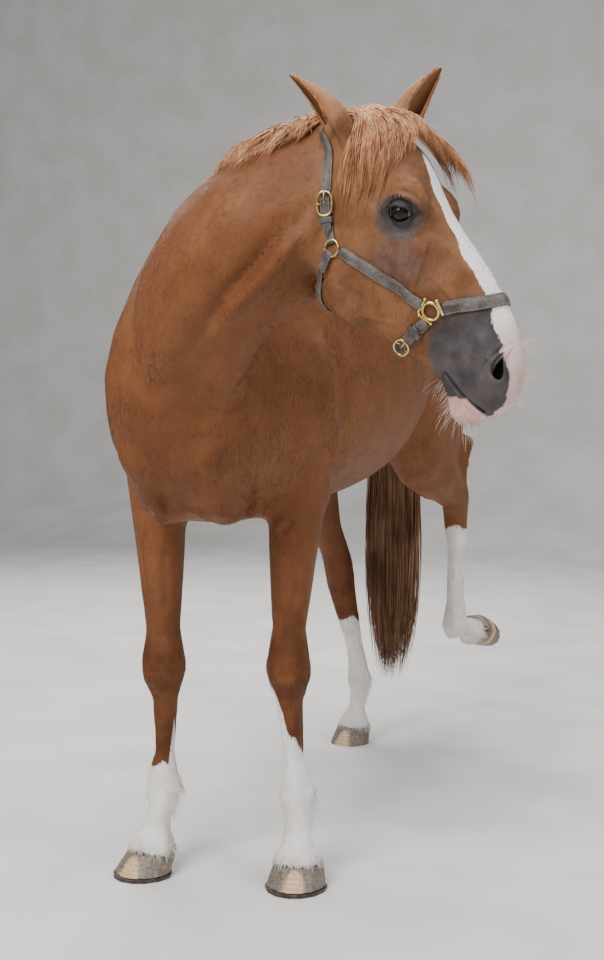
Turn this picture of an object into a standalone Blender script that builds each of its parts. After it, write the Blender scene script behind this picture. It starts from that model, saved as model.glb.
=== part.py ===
"""A chestnut riding horse at life size, standing still on three feet.

It faces -Y, its left side is +X and up is +Z. The neck bends and the head turns to the
horse's left, and the left hind foot is lifted behind. All flesh is modelled as one form,
from tapered tubes and rounded muscles, and then parted with thin cuts into the pieces
that a person would name. Hooves, shoes, eyes, hair and the leather headcollar are pieces
of their own.
"""
import math

import bmesh
import bpy
import numpy as np
from mathutils import Matrix, Vector
from mathutils.bvhtree import BVHTree

# ---------------------------------------------------------------- driving dimensions, metres
WITHERS_HEIGHT = 1.60
CHEST_HALF_WIDTH = 0.262
BARREL_HALF_WIDTH = 0.305
HEAD_LENGTH = 0.60
NECK_END_HALF_WIDTH = 0.074
EYE_RADIUS = 0.0205
SHOE_THICKNESS = 0.008
HOOF_HALF_WIDTH = 0.066
STRAP_WIDTH = 0.022
STRAP_THICKNESS = 0.004
RING_WIRE = 0.0032
CUT = 0.0003            # gap left by each parting cut
VOXEL = 0.009           # grain of the flesh before it is simplified
FLESH_FACES = 3100      # triangles left in all the flesh

# the head hangs from its crown point, just above the forehead line at the poll
CROWN = Vector((0.508, -0.355, 1.603))
HEAD_TURN = math.radians(83)       # left of straight ahead
HEAD_DROP = math.radians(26)       # of the face line, from plumb

# ground places of the feet and heights of the joints, in the frame of the fore feet
FORE_LEFT = dict(elbow=0.160, knee=0.147, fetlock=0.168, foot=0.184, y=0.044, toe=math.radians(8))
FORE_RIGHT = dict(elbow=-0.163, knee=-0.136, fetlock=-0.145, foot=-0.150, y=0.004, toe=math.radians(-20))

# ---------------------------------------------------------------- finishes
FINISHES = {
    "coat": ((0.32, 0.125, 0.05), 0.55, 0.0),
    "white_coat": ((0.75, 0.71, 0.68), 0.6, 0.0),
    "mane_hair": ((0.47, 0.22, 0.10), 0.5, 0.0),
    "hoof_horn": ((0.30, 0.24, 0.19), 0.45, 0.0),
    "eye": ((0.02, 0.015, 0.012), 0.05, 0.0),
    "leather": ((0.075, 0.06, 0.055), 0.5, 0.0),
    "brass": ((0.75, 0.55, 0.25), 0.25, 1.0),
    "shoe_steel": ((0.25, 0.25, 0.26), 0.4, 1.0),
}


def finish(name):
    """The named material, made once."""
    if name in bpy.data.materials:
        return bpy.data.materials[name]
    colour, roughness, metallic = FINISHES[name]
    material = bpy.data.materials.new(name)
    material.use_nodes = True
    shader = material.node_tree.nodes["Principled BSDF"]
    shader.inputs["Base Color"].default_value = (*colour, 1.0)
    shader.inputs["Roughness"].default_value = roughness
    shader.inputs["Metallic"].default_value = metallic
    return material


# ---------------------------------------------------------------- curves and sections
def smooth_rows(rows, steps):
    """A curve through every row of numbers, with `steps` rows to each interval."""
    rows = np.array(rows, float)
    padded = np.vstack([2 * rows[0] - rows[1], rows, 2 * rows[-1] - rows[-2]])
    result = []
    for i in range(len(rows) - 1):
        a, b, c, d = padded[i:i + 4]
        for t in np.arange(steps) / steps:
            bend = 2 * a - 5 * b + 4 * c - d
            twist = 3 * b - a - 3 * c + d
            result.append(0.5 * (2 * b + (c - a) * t + bend * t * t + twist * t ** 3))
    result.append(rows[-1])
    return np.array(result)


def section(centre, side, up, half_width, rise, drop, top_power=2.0, low_power=2.0, count=32):
    """One ring of a body form: a rounded outline, wider or squarer above and below."""
    ring = []
    for k in range(count):
        angle = 2 * math.pi * k / count
        c, s = math.cos(angle), math.sin(angle)
        power = top_power if s > 0 else low_power
        across = math.copysign(abs(c) ** (2 / power), c) * half_width
        height = math.copysign(abs(s) ** (2 / power), s) * (rise if s > 0 else drop)
        ring.append(Vector(centre) + Vector(side) * across + Vector(up) * height)
    return ring


def loft(form, rings):
    """Adds a closed tube through rings of equal count to the bmesh `form`."""
    loops = [[form.verts.new(point) for point in ring] for ring in rings]
    faces = []
    for near, far in zip(loops, loops[1:]):
        for i in range(len(near)):
            j = (i + 1) % len(near)
            faces.append(form.faces.new((near[i], near[j], far[j], far[i])))
    faces.append(form.faces.new(list(reversed(loops[0]))))
    faces.append(form.faces.new(loops[-1]))
    bmesh.ops.recalc_face_normals(form, faces=faces)


def muscle(form, centre, radii, axis=(0, 0, 1), roll=(1, 0, 0)):
    """Adds a rounded mass; its third radius runs along `axis`, its first towards `roll`."""
    along = Vector(axis).normalized()
    across = (Vector(roll) - along * along.dot(Vector(roll))).normalized()
    third = along.cross(across)
    turn = Matrix((across, third, along)).transposed().to_4x4()
    place = Matrix.Translation(Vector(centre)) @ turn @ Matrix.Diagonal((*radii, 1.0))
    bmesh.ops.create_icosphere(form, subdivisions=3, radius=1.0, matrix=place)


def limb(form, rows, side, count=24, steps=3):
    """Adds a leg or strut: rows of x, y, z, half width, front reach and back reach."""
    rows = smooth_rows(rows, steps)
    side = Vector(side).normalized()
    rings = []
    for i, row in enumerate(rows):
        ahead = rows[min(i + 1, len(rows) - 1)][:3] - rows[max(i - 1, 0)][:3]
        along = Vector(ahead).normalized()
        front = side.cross(along).normalized()
        across = along.cross(front)
        rings.append(section(row[:3], across, front, row[3], row[4], row[5], 2.2, 2.0, count))
    loft(form, rings)


# ---------------------------------------------------------------- the head's own frame
FACING = Vector((math.sin(HEAD_TURN), -math.cos(HEAD_TURN), 0.0))
HEAD_LEFT = Vector((-FACING.y, FACING.x, 0.0))
HEAD_DOWN = (FACING * math.sin(HEAD_DROP) - Vector((0, 0, 1)) * math.cos(HEAD_DROP)).normalized()
HEAD_FRONT = (FACING * math.cos(HEAD_DROP) + Vector((0, 0, 1)) * math.sin(HEAD_DROP)).normalized()


def head_point(down, front, left=0.0):
    """A place on the head: down the face line, in front of it, and to the head's left."""
    return CROWN + HEAD_DOWN * down + HEAD_FRONT * front + HEAD_LEFT * left


def head_mass(form, down, front, left, radii, lean=0.0):
    """A rounded mass on the head; radii are across, front to back, and along the face."""
    along = HEAD_DOWN * math.cos(lean) + HEAD_FRONT * math.sin(lean)
    muscle(form, head_point(down, front, left), radii, along, HEAD_LEFT)


# ---------------------------------------------------------------- flesh: trunk and neck
def trunk(form):
    """Barrel, chest and croup: rows along the body, back from the fore feet."""
    #        back    top    low    widest  half width            top pw  low pw
    rows = [(-0.315, 1.180, 1.020, 1.090, 0.060, 2.0, 2.0),
            (-0.265, 1.270, 0.920, 1.080, 0.135, 2.0, 2.0),
            (-0.170, 1.370, 0.830, 1.060, 0.184, 2.0, 2.1),
            (-0.050, 1.500, 0.790, 1.080, CHEST_HALF_WIDTH - 0.036, 1.7, 2.2),
            (0.080, 1.575, 0.788, 1.100, CHEST_HALF_WIDTH, 1.55, 2.3),
            (0.200, 1.592, 0.798, 1.110, 0.272, 1.50, 2.3),
            (0.330, 1.550, 0.806, 1.130, 0.288, 1.65, 2.2),
            (0.480, 1.512, 0.812, 1.150, BARREL_HALF_WIDTH, 1.9, 2.2),
            (0.630, 1.506, 0.830, 1.170, BARREL_HALF_WIDTH, 2.0, 2.2),
            (0.770, 1.528, 0.870, 1.190, 0.290, 1.9, 2.1),
            (0.890, 1.556, 0.935, 1.220, 0.268, 1.9, 2.1),
            (1.010, 1.560, 0.985, 1.220, 0.258, 1.9, 2.2),
            (1.130, 1.525, 1.005, 1.210, 0.250, 1.9, 2.2),
            (1.250, 1.445, 1.030, 1.200, 0.205, 1.9, 2.2),
            (1.330, 1.365, 1.100, 1.220, 0.130, 1.9, 2.2),
            (1.365, 1.310, 1.180, 1.240, 0.060, 2.0, 2.0)]
    rise = WITHERS_HEIGHT / 1.60
    rings = []
    for y, top, low, widest, half_width, high_power, low_power in smooth_rows(rows, 3):
        rings.append(section((0, y, widest * rise), (1, 0, 0), (0, 0, 1), half_width,
                             (top - widest) * rise, (widest - low) * rise,
                             high_power, low_power, 40))
    loft(form, rings)


def neck(form):
    """Neck: rows of crest point, throat point and half width, from the withers to the poll."""
    end = NECK_END_HALF_WIDTH
    #        crest x, y, z           throat x, y, z          half width
    rows = [(0.000, 0.180, 1.550, 0.000, -0.080, 0.970, 0.110),
            (0.006, 0.070, 1.532, 0.004, -0.225, 1.000, 0.116),
            (0.020, -0.040, 1.506, 0.020, -0.310, 1.060, 0.110),
            (0.062, -0.130, 1.504, 0.078, -0.362, 1.115, 0.102),
            (0.130, -0.208, 1.524, 0.154, -0.398, 1.165, 0.096),
            (0.210, -0.266, 1.547, 0.230, -0.410, 1.210, 0.092),
            (0.300, -0.303, 1.565, 0.305, -0.400, 1.253, 0.085),
            (0.395, -0.322, 1.575, 0.370, -0.378, 1.293, end),
            (0.470, -0.335, 1.550, 0.440, -0.365, 1.348, end * 0.8)]
    rows = smooth_rows(rows, 4)
    rings = []
    for i, row in enumerate(rows):
        crest, throat = Vector(row[:3]), Vector(row[3:6])
        near, far = rows[max(i - 1, 0)], rows[min(i + 1, len(rows) - 1)]
        ahead = Vector(far[:3] + far[3:6] - near[:3] - near[3:6])
        up = crest - throat
        side = up.cross(ahead).normalized()
        middle = throat + up * 0.46
        rings.append(section(middle, side, up.normalized(), row[6],
                             up.length * 0.54, up.length * 0.46, 1.75, 2.0, 32))
    loft(form, rings)


def body_muscles(form):
    """Rounded masses that both sides share: shoulder, breast, loin and rump."""
    for hand in (-1, 1):
        roll = (hand, 0, 0)
        muscle(form, (hand * 0.088, -0.190, 1.065), (0.070, 0.075, 0.130), (0, 0.25, 1), roll)
        muscle(form, (hand * 0.062, -0.215, 1.000), (0.070, 0.070, 0.130), (0, 0.15, 1), roll)
        muscle(form, (hand * 0.060, -0.090, 0.870), (0.062, 0.150, 0.080), (0, 0, 1), roll)
        muscle(form, (hand * 0.196, 0.060, 1.075), (0.064, 0.115, 0.165), (0, -0.45, 1), roll)
        muscle(form, (hand * 0.096, 0.000, 1.265), (0.056, 0.085, 0.200), (0, 0.50, 1), roll)
        muscle(form, (hand * 0.130, -0.085, 1.115), (0.054, 0.085, 0.130), (0, 0.4, 1), roll)
        muscle(form, (hand * 0.130, 1.000, 1.395), (0.125, 0.150, 0.230), (0, 1, -0.12), roll)
        muscle(form, (hand * 0.125, 1.200, 1.210), (0.105, 0.125, 0.240), (0, 0.12, 1), roll)
        muscle(form, (hand * 0.198, 0.850, 1.335), (0.045, 0.060, 0.060), (0, 0, 1), roll)


# ---------------------------------------------------------------- flesh: legs
def fore_leg(form, hand, place):
    """A straight fore leg down to the band above the hoof."""
    side = Vector((hand, 0, 0))
    turned = Matrix.Rotation(place["toe"], 3, "Z") @ Vector((hand, 0, 0))
    step = Matrix.Rotation(place["toe"], 3, "Z") @ Vector((0, -1, 0))
    #        back    height half w  front  back   how far from elbow (0) to knee (1), fetlock (2)
    upper = [(0.020, 1.120, 0.070, 0.110, 0.110, 0.0),
             (0.030, 1.000, 0.080, 0.104, 0.110, 0.0),
             (0.030, 0.915, 0.076, 0.090, 0.096, 0.1),
             (0.022, 0.835, 0.066, 0.076, 0.077, 0.25),
             (0.012, 0.740, 0.056, 0.064, 0.061, 0.45),
             (0.004, 0.640, 0.047, 0.051, 0.049, 0.7),
             (0.000, 0.550, 0.041, 0.043, 0.042, 0.9),
             (-0.002, 0.505, 0.048, 0.046, 0.043, 1.0),
             (-0.003, 0.465, 0.053, 0.050, 0.045, 1.0),
             (-0.001, 0.427, 0.047, 0.044, 0.044, 1.0),
             (0.004, 0.395, 0.033, 0.034, 0.042, 1.1),
             (0.006, 0.340, 0.026, 0.028, 0.038, 1.35),
             (0.006, 0.275, 0.0235, 0.026, 0.036, 1.6),
             (0.005, 0.225, 0.0310, 0.029, 0.040, 1.85),
             (0.003, 0.186, 0.0430, 0.036, 0.046, 2.0),
             (-0.003, 0.158, 0.0385, 0.033, 0.044, 2.0)]
    knots_x = (place["elbow"], place["knee"], place["fetlock"])
    rows = []
    for back, height, half_width, front, rear, share in upper:
        x = np.interp(share, (0, 1, 2), knots_x)
        rows.append((x, place["y"] + back, height, half_width, front, rear))
    limb(form, rows, side)
    pastern(form, (place["fetlock"], place["y"], 0.0), place["foot"], step, turned, 0.174, 1.0)


def pastern(form, under, foot_x, step, side, fetlock_height, bulk):
    """The sloping pastern, from inside the fetlock to the coronet, stepping forward."""
    #       forward height  half w  front  back
    steps = [(-0.004, 1.00, 0.0360, 0.0300, 0.0400),
             (0.010, 0.77, 0.0315, 0.0270, 0.0340),
             (0.022, 0.60, 0.0320, 0.0270, 0.0350),
             (0.031, 0.47, 0.0400, 0.0370, 0.0430),
             (0.037, 0.38, 0.0490, 0.0450, 0.0500),
             (0.040, 0.30, 0.0500, 0.0470, 0.0500),
             (0.046, 0.16, 0.0440, 0.0420, 0.0420)]
    rows = []
    for forward, share, half_width, front, rear in steps:
        place = Vector(under) + step * forward
        place.x += (foot_x - under[0] - step.x * 0.040) * min((1.0 - share) / 0.67, 1.0)
        rows.append((place.x, place.y, fetlock_height * share, half_width * bulk,
                     front * bulk, rear * bulk))
    limb(form, rows, side, steps=3)


def right_hind_leg(form):
    """The hind leg that bears weight, set a little back and towards the middle."""
    side = Vector((-1, 0.05, 0))
    rows = [(-0.150, 1.110, 1.240, 0.095, 0.240, 0.240),
            (-0.160, 1.080, 1.110, 0.105, 0.265, 0.262),
            (-0.168, 1.040, 0.995, 0.100, 0.250, 0.232),
            (-0.172, 1.035, 0.915, 0.088, 0.200, 0.198),
            (-0.170, 1.060, 0.835, 0.070, 0.135, 0.150),
            (-0.163, 1.105, 0.755, 0.055, 0.086, 0.098),
            (-0.155, 1.155, 0.675, 0.044, 0.060, 0.058),
            (-0.149, 1.200, 0.610, 0.040, 0.050, 0.062),
            (-0.143, 1.230, 0.550, 0.044, 0.058, 0.064),
            (-0.137, 1.243, 0.495, 0.043, 0.055, 0.054),
            (-0.130, 1.252, 0.445, 0.036, 0.042, 0.046),
            (-0.118, 1.267, 0.365, 0.0300, 0.033, 0.043),
            (-0.106, 1.281, 0.285, 0.0290, 0.031, 0.041),
            (-0.098, 1.289, 0.228, 0.0330, 0.034, 0.045),
            (-0.093, 1.291, 0.190, 0.0400, 0.038, 0.048),
            (-0.091, 1.285, 0.162, 0.0360, 0.034, 0.045)]
    limb(form, rows, side, steps=3)
    muscle(form, (-0.149, 1.262, 0.607), (0.021, 0.024, 0.042), (0, -0.15, 1), (-1, 0, 0))
    pastern(form, (-0.091, 1.288, 0.0), -0.097, Vector((-0.15, -0.99, 0)).normalized(),
            (-1, 0.15, 0), 0.176, 0.93)


def left_hind_leg(form):
    """The lifted hind leg: stifle and hock folded, fetlock bent so the sole looks back."""
    side = Vector((1, -0.05, 0.05))
    rows = [(0.145, 1.110, 1.250, 0.100, 0.240, 0.240),
            (0.165, 1.050, 1.130, 0.108, 0.270, 0.255),
            (0.186, 0.970, 1.030, 0.104, 0.250, 0.240),
            (0.202, 0.910, 0.960, 0.086, 0.190, 0.185)]
    limb(form, rows, side, steps=3)
    rows = [(0.192, 0.800, 1.000, 0.078, 0.075, 0.100),
            (0.208, 0.880, 0.945, 0.078, 0.105, 0.130),
            (0.224, 0.965, 0.890, 0.068, 0.085, 0.115),
            (0.238, 1.050, 0.838, 0.052, 0.060, 0.078),
            (0.247, 1.115, 0.800, 0.042, 0.048, 0.060),
            (0.250, 1.150, 0.785, 0.036, 0.040, 0.050)]
    limb(form, rows, side, steps=3)
    rows = [(0.249, 1.150, 0.865, 0.030, 0.040, 0.036),
            (0.250, 1.145, 0.820, 0.037, 0.056, 0.056),
            (0.250, 1.145, 0.765, 0.039, 0.058, 0.056),
            (0.250, 1.148, 0.710, 0.034, 0.044, 0.046),
            (0.251, 1.155, 0.630, 0.0290, 0.032, 0.042),
            (0.248, 1.162, 0.550, 0.0275, 0.030, 0.040),
            (0.246, 1.168, 0.475, 0.0290, 0.031, 0.043),
            (0.244, 1.172, 0.435, 0.0350, 0.036, 0.046),
            (0.243, 1.176, 0.398, 0.0410, 0.041, 0.046),
            (0.246, 1.190, 0.370, 0.0360, 0.036, 0.040)]
    limb(form, rows, side, steps=3)
    muscle(form, (0.249, 1.188, 0.835), (0.022, 0.028, 0.060), (0, 0.35, 1), (1, 0, 0))
    limb(form, lifted_pastern_rows(), (0.95, -0.30, 0.0), steps=3)


LIFTED_FETLOCK = Vector((0.245, 1.182, 0.388))
LIFTED_WAY = Vector((0.25, 0.93, -0.24)).normalized()   # from the fetlock towards the toe


def lifted_pastern_rows():
    """Rows from the bent fetlock back to the coronet of the lifted foot."""
    reaches = (0.000, 0.030, 0.055, 0.078, 0.096, 0.120)
    half_widths = (0.033, 0.028, 0.028, 0.037, 0.044, 0.036)
    depths = (0.036, 0.029, 0.028, 0.036, 0.040, 0.030)
    rows = []
    for reach, half_width, depth in zip(reaches, half_widths, depths):
        place = LIFTED_FETLOCK + LIFTED_WAY * reach
        rows.append((*place, half_width, depth, depth))
    return rows


# ---------------------------------------------------------------- flesh: head
def head(form):
    """Skull and jaws: rows down the face line, with the fronts and depths of each section."""
    #        down   front   jaw     widest  half width      top pw low pw
    rows = [(-0.01, -0.085, -0.160, -0.120, 0.040, 2.0, 2.0),
            (0.025, -0.052, -0.190, -0.110, 0.062, 2.0, 2.0),
            (0.065, -0.022, -0.215, -0.100, 0.076, 2.1, 2.0),
            (0.110, -0.002, -0.238, -0.095, 0.084, 2.3, 2.1),
            (0.155, 0.002, -0.256, -0.090, 0.090, 2.4, 2.2),
            (0.200, 0.000, -0.270, -0.088, 0.092, 2.3, 2.3),
            (0.245, 0.002, -0.277, -0.090, 0.088, 2.0, 2.4),
            (0.290, 0.009, -0.268, -0.090, 0.081, 1.85, 2.4),
            (0.335, 0.017, -0.245, -0.088, 0.074, 1.8, 2.3),
            (0.380, 0.023, -0.217, -0.084, 0.066, 1.85, 2.2),
            (0.425, 0.026, -0.188, -0.080, 0.058, 1.9, 2.2),
            (0.470, 0.025, -0.163, -0.072, 0.053, 2.0, 2.1),
            (0.515, 0.020, -0.148, -0.066, 0.053, 2.2, 2.0),
            (0.550, 0.008, -0.146, -0.066, 0.051, 2.3, 2.0),
            (0.582, -0.018, -0.138, -0.070, 0.043, 2.2, 2.0),
            (0.603, -0.046, -0.112, -0.074, 0.022, 2.0, 2.0)]
    scale = HEAD_LENGTH / 0.60
    rings = []
    for down, front, jaw, widest, half_width, high_power, low_power in smooth_rows(rows, 3):
        centre = head_point(down * scale, widest * scale)
        rings.append(section(centre, HEAD_LEFT, HEAD_FRONT, half_width * scale,
                             (front - widest) * scale, (widest - jaw) * scale,
                             high_power, low_power, 36))
    loft(form, rings)
    for hand in (-1, 1):
        head_mass(form, 0.203, -0.034, hand * 0.076, (0.032, 0.034, 0.052), 0.1)
        head_mass(form, 0.225, -0.175, hand * 0.054, (0.030, 0.082, 0.088), 0.25)
        head_mass(form, 0.305, -0.092, hand * 0.071, (0.012, 0.014, 0.080), -0.02)
        head_mass(form, 0.530, -0.044, hand * 0.034, (0.024, 0.030, 0.036), 0.2)
        head_mass(form, 0.030, -0.105, hand * 0.050, (0.030, 0.045, 0.040))
    head_mass(form, 0.572, -0.054, 0.0, (0.040, 0.038, 0.026))
    head_mass(form, 0.563, -0.131, 0.0, (0.031, 0.022, 0.034))
    head_mass(form, 0.040, -0.055, 0.0, (0.050, 0.030, 0.050))


def eye_centre(hand):
    """Middle of the eyeball on the head's left (1) or right (-1)."""
    return head_point(0.222, -0.056, hand * 0.0800)


def hollow(points, centre, radius, push):
    """Moves the points near `centre` by `push`, fading out like a bell over `radius`."""
    away = np.linalg.norm(points - np.array(centre), axis=1)
    weight = np.exp(-(away / radius) ** 2)
    return points + weight[:, None] * np.array(push)


def shape_face(points):
    """Presses the eye hollows, nostrils, mouth and chin groove into the smooth head."""
    for hand in (-1, 1):
        inward = HEAD_LEFT * -hand
        points = hollow(points, head_point(0.150, -0.058, hand * 0.088), 0.026, inward * 0.006)
        points = hollow(points, head_point(0.252, -0.080, hand * 0.088), 0.022, inward * 0.004)
        points = hollow(points, head_point(0.530, -0.050, hand * 0.056), 0.011, inward * 0.010)
        points = hollow(points, head_point(0.445, -0.060, hand * 0.056), 0.030, inward * 0.006)
        for down, front in ((0.500, -0.104), (0.520, -0.103), (0.540, -0.102), (0.560, -0.102)):
            points = hollow(points, head_point(down, front, hand * 0.046), 0.009, inward * 0.004)
    points = hollow(points, head_point(0.500, -0.155), 0.022, HEAD_FRONT * 0.008)
    points = hollow(points, head_point(0.592, -0.100), 0.012, -HEAD_DOWN * 0.010)
    return points


# ---------------------------------------------------------------- objects and cuts
def new_object(name, mesh, finish_name):
    """A named object with its finish, at the world's origin."""
    thing = bpy.data.objects.new(name, mesh)
    bpy.context.scene.collection.objects.link(thing)
    mesh.materials.clear()
    mesh.materials.append(finish(finish_name))
    return thing


def mesh_from(form, name):
    """Turns a bmesh into a mesh and frees it."""
    mesh = bpy.data.meshes.new(name)
    form.to_mesh(mesh)
    form.free()
    return mesh


def settle(thing):
    """Replaces an object's mesh by what its modifiers make of it."""
    graph = bpy.context.evaluated_depsgraph_get()
    graph.update()
    made = bpy.data.meshes.new_from_object(thing.evaluated_get(graph), depsgraph=graph)
    thing.modifiers.clear()
    thing.data = made
    return thing


def fuse(thing, grain, smoothing):
    """Melts overlapping closed shapes into one skin and smooths its seams."""
    remesh = thing.modifiers.new("fuse", "REMESH")
    remesh.mode = "VOXEL"
    remesh.voxel_size = grain
    soften = thing.modifiers.new("soften", "SMOOTH")
    soften.factor = 0.5
    soften.iterations = smoothing
    return settle(thing)


def points_of(mesh):
    """All corner points of a mesh as rows."""
    flat = np.empty(len(mesh.vertices) * 3)
    mesh.vertices.foreach_get("co", flat)
    return flat.reshape(-1, 3)


def set_points(mesh, points):
    mesh.vertices.foreach_set("co", points.ravel())
    mesh.update()


def simplify(thing, faces, group=None):
    """Thins a mesh to about `faces` triangles, keeping more where the group is strong."""
    thing.data.calc_loop_triangles()
    thin = thing.modifiers.new("thin", "DECIMATE")
    thin.ratio = faces / len(thing.data.loop_triangles)
    thin.use_collapse_triangulate = True
    if group:
        thin.vertex_group = group
        thin.vertex_group_factor = 1.0
        thin.invert_vertex_group = True
    return settle(thing)


def boolean(thing, other, operation):
    """Cuts, joins or keeps what is shared with the other object."""
    cut = thing.modifiers.new("cut", "BOOLEAN")
    cut.operation = operation
    cut.solver = "EXACT"
    cut.object = other
    return settle(thing)


def drop(thing):
    """Removes a helper object."""
    bpy.data.objects.remove(thing)


def largest_body(thing):
    """Keeps only the biggest connected piece of an object, with clean triangles."""
    form = bmesh.new()
    form.from_mesh(thing.data)
    bmesh.ops.triangulate(form, faces=form.faces)
    bmesh.ops.remove_doubles(form, verts=form.verts, dist=0.000002)
    left = set(form.verts)
    islands = []
    while left:
        island, front = set(), [left.pop()]
        while front:
            vert = front.pop()
            island.add(vert)
            for edge in vert.link_edges:
                other = edge.other_vert(vert)
                if other in left:
                    left.remove(other)
                    front.append(other)
        islands.append(island)
    islands.sort(key=len)
    for island in islands[:-1]:
        bmesh.ops.delete(form, geom=list(island), context="VERTS")
    loose = [vert for vert in form.verts if not vert.link_faces]
    bmesh.ops.delete(form, geom=loose, context="VERTS")
    form.to_mesh(thing.data)
    form.free()
    return thing


def cut_block(point, towards, spread, reach, set_back=0.0, roll=(0, 0, 1)):
    """A hidden block whose near face is the cutting plane through `point`."""
    towards = Vector(towards).normalized()
    side = towards.cross(Vector(roll)).normalized()
    up = towards.cross(side)
    frame = Matrix((side, up, towards)).transposed().to_4x4()
    middle = Vector(point) + towards * (reach / 2 - set_back)
    form = bmesh.new()
    size = Matrix.Diagonal((spread[0] * 2, spread[1] * 2, reach, 1.0))
    bmesh.ops.create_cube(form, size=1.0, matrix=Matrix.Translation(middle) @ frame @ size)
    block = bpy.data.objects.new("cut_block", mesh_from(form, "cut_block"))
    bpy.context.scene.collection.objects.link(block)
    block.hide_render = True
    block.display_type = "WIRE"
    return block


def part_off(flesh, name, finish_name, *plane, **shape):
    """Parts a named piece from the flesh with one thin cut."""
    piece = new_object(name, flesh.data.copy(), finish_name)
    block = cut_block(*plane, **shape)
    boolean(piece, block, "INTERSECT")
    drop(block)
    block = cut_block(*plane, set_back=CUT, **shape)
    boolean(flesh, block, "DIFFERENCE")
    drop(block)
    piece.data.materials.clear()
    piece.data.materials.append(finish(finish_name))
    return largest_body(piece)


# ---------------------------------------------------------------- the whole flesh
def whole_flesh():
    """Every fleshy form fused into one skin, with the face pressed in."""
    form = bmesh.new()
    trunk(form)
    neck(form)
    body_muscles(form)
    fore_leg(form, 1, FORE_LEFT)
    fore_leg(form, -1, FORE_RIGHT)
    right_hind_leg(form)
    left_hind_leg(form)
    tail_dock(form)
    head(form)
    flesh = new_object("trunk", mesh_from(form, "flesh"), "coat")
    fuse(flesh, VOXEL, 6)
    set_points(flesh.data, shape_face(points_of(flesh.data)))
    return flesh


def tail_dock(form):
    """The fleshy root of the tail, arched out of the croup and hanging down."""
    rows = [(0.000, 1.200, 1.400, 0.045, 0.045, 0.045),
            (0.000, 1.290, 1.385, 0.040, 0.038, 0.038),
            (-0.002, 1.355, 1.335, 0.034, 0.032, 0.032),
            (-0.005, 1.385, 1.250, 0.028, 0.026, 0.026),
            (-0.008, 1.390, 1.160, 0.022, 0.020, 0.020),
            (-0.010, 1.388, 1.090, 0.014, 0.013, 0.013)]
    limb(form, rows, (1, 0, 0), count=16)


def weigh_for_detail(flesh):
    """Marks where the form is small, so that thinning spares the head and the feet."""
    points = points_of(flesh.data)
    middle = np.array(head_point(0.30, -0.12))
    near_head = np.exp(-(np.linalg.norm(points - middle, axis=1) / 0.30) ** 4)
    near_nose = np.exp(-(np.linalg.norm(points - np.array(head_point(0.54, -0.07)), axis=1) / 0.10) ** 4)
    weight = np.clip(0.10 * near_head + 0.10 * near_nose, 0, 1)
    group = flesh.vertex_groups.new(name="detail")
    for level in range(1, 11):
        chosen = np.nonzero(np.round(weight * 10) == level)[0]
        group.add([int(i) for i in chosen], level / 10, "REPLACE")
    return "detail"


def swollen(flesh, by):
    """A hidden copy of an object, grown outwards, to cut its neighbours with."""
    mesh = flesh.data.copy()
    normals = np.empty(len(mesh.vertices) * 3)
    mesh.vertices.foreach_get("normal", normals)
    set_points(mesh, points_of(mesh) + normals.reshape(-1, 3) * by)
    copy = bpy.data.objects.new("swollen", mesh)
    bpy.context.scene.collection.objects.link(copy)
    copy.hide_render = True
    copy.display_type = "WIRE"
    return copy


def part_the_flesh(flesh):
    """Parts the flesh into the pieces of a horse that have names."""
    low = dict(spread=(0.16, 0.16), reach=0.6, roll=(0, 1, 0))
    for name, place in (("left", FORE_LEFT), ("right", FORE_RIGHT)):
        foot = Vector((place["foot"], place["y"] - 0.05, 0.0))
        part_off(flesh, "pastern_fore_" + name, "white_coat", foot + Vector((0, 0, 0.160)), (0, 0, -1), **low)
        part_off(flesh, "cannon_fore_" + name, "white_coat", foot + Vector((0, 0, 0.400)), (0, 0, -1), **low)
        part_off(flesh, "forearm_" + name, "coat", foot + Vector((0, 0.05, 0.775)), (0, 0, -1), **low)
    foot = Vector((-0.095, 1.27, 0))
    part_off(flesh, "pastern_hind_right", "white_coat", foot + Vector((0, 0, 0.165)), (0, 0, -1), **low)
    part_off(flesh, "cannon_hind_right", "white_coat", foot + Vector((0, 0, 0.455)), (0, 0, -1), **low)
    thigh = dict(spread=(0.24, 0.17), reach=0.6, roll=(1, 0, 0))
    part_off(flesh, "gaskin_right", "coat", (-0.160, 1.08, 0.860), (0.0, 0.35, -1), **thigh)
    part_off(flesh, "pastern_hind_left", "white_coat", LIFTED_FETLOCK + LIFTED_WAY * 0.034,
             LIFTED_WAY, spread=(0.12, 0.12), reach=0.4)
    part_off(flesh, "cannon_hind_left", "white_coat", (0.25, 1.16, 0.700), (0, 0.05, -1), **low)
    part_off(flesh, "gaskin_left", "coat", (0.23, 0.99, 0.885), (0.0, 0.15, -1), **thigh)
    part_off(flesh, "tail_dock", "coat", (0, 1.325, 1.36), (0, 0.62, -0.78), spread=(0.09, 0.09),
             reach=0.5, roll=(1, 0, 0))
    jaw_back = head_point(0.165, -0.275)
    poll_back = head_point(-0.030, -0.075)
    up = (poll_back - jaw_back).normalized()
    part_off(flesh, "head", "coat", (jaw_back + poll_back) / 2 - up * 0.06, HEAD_LEFT.cross(up),
             spread=(0.22, 0.36), reach=0.9, roll=up)
    head_piece = bpy.data.objects["head"]
    part_off(head_piece, "muzzle", "white_coat", head_point(0.470, -0.09), HEAD_DOWN,
             spread=(0.15, 0.15), reach=0.3, roll=HEAD_FRONT)
    part_off(flesh, "neck", "coat", (0.075, -0.215, 1.335), (0.36, -0.80, 0.48), spread=(0.35, 0.40),
             reach=0.9, roll=(0, 0, 1))
    part_off(flesh, "hindquarters", "coat", (0, 0.80, 1.2), (0, 1, 0), spread=(0.5, 0.6), reach=0.9)
    for thing in (flesh, head_piece):
        largest_body(thing)


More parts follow.
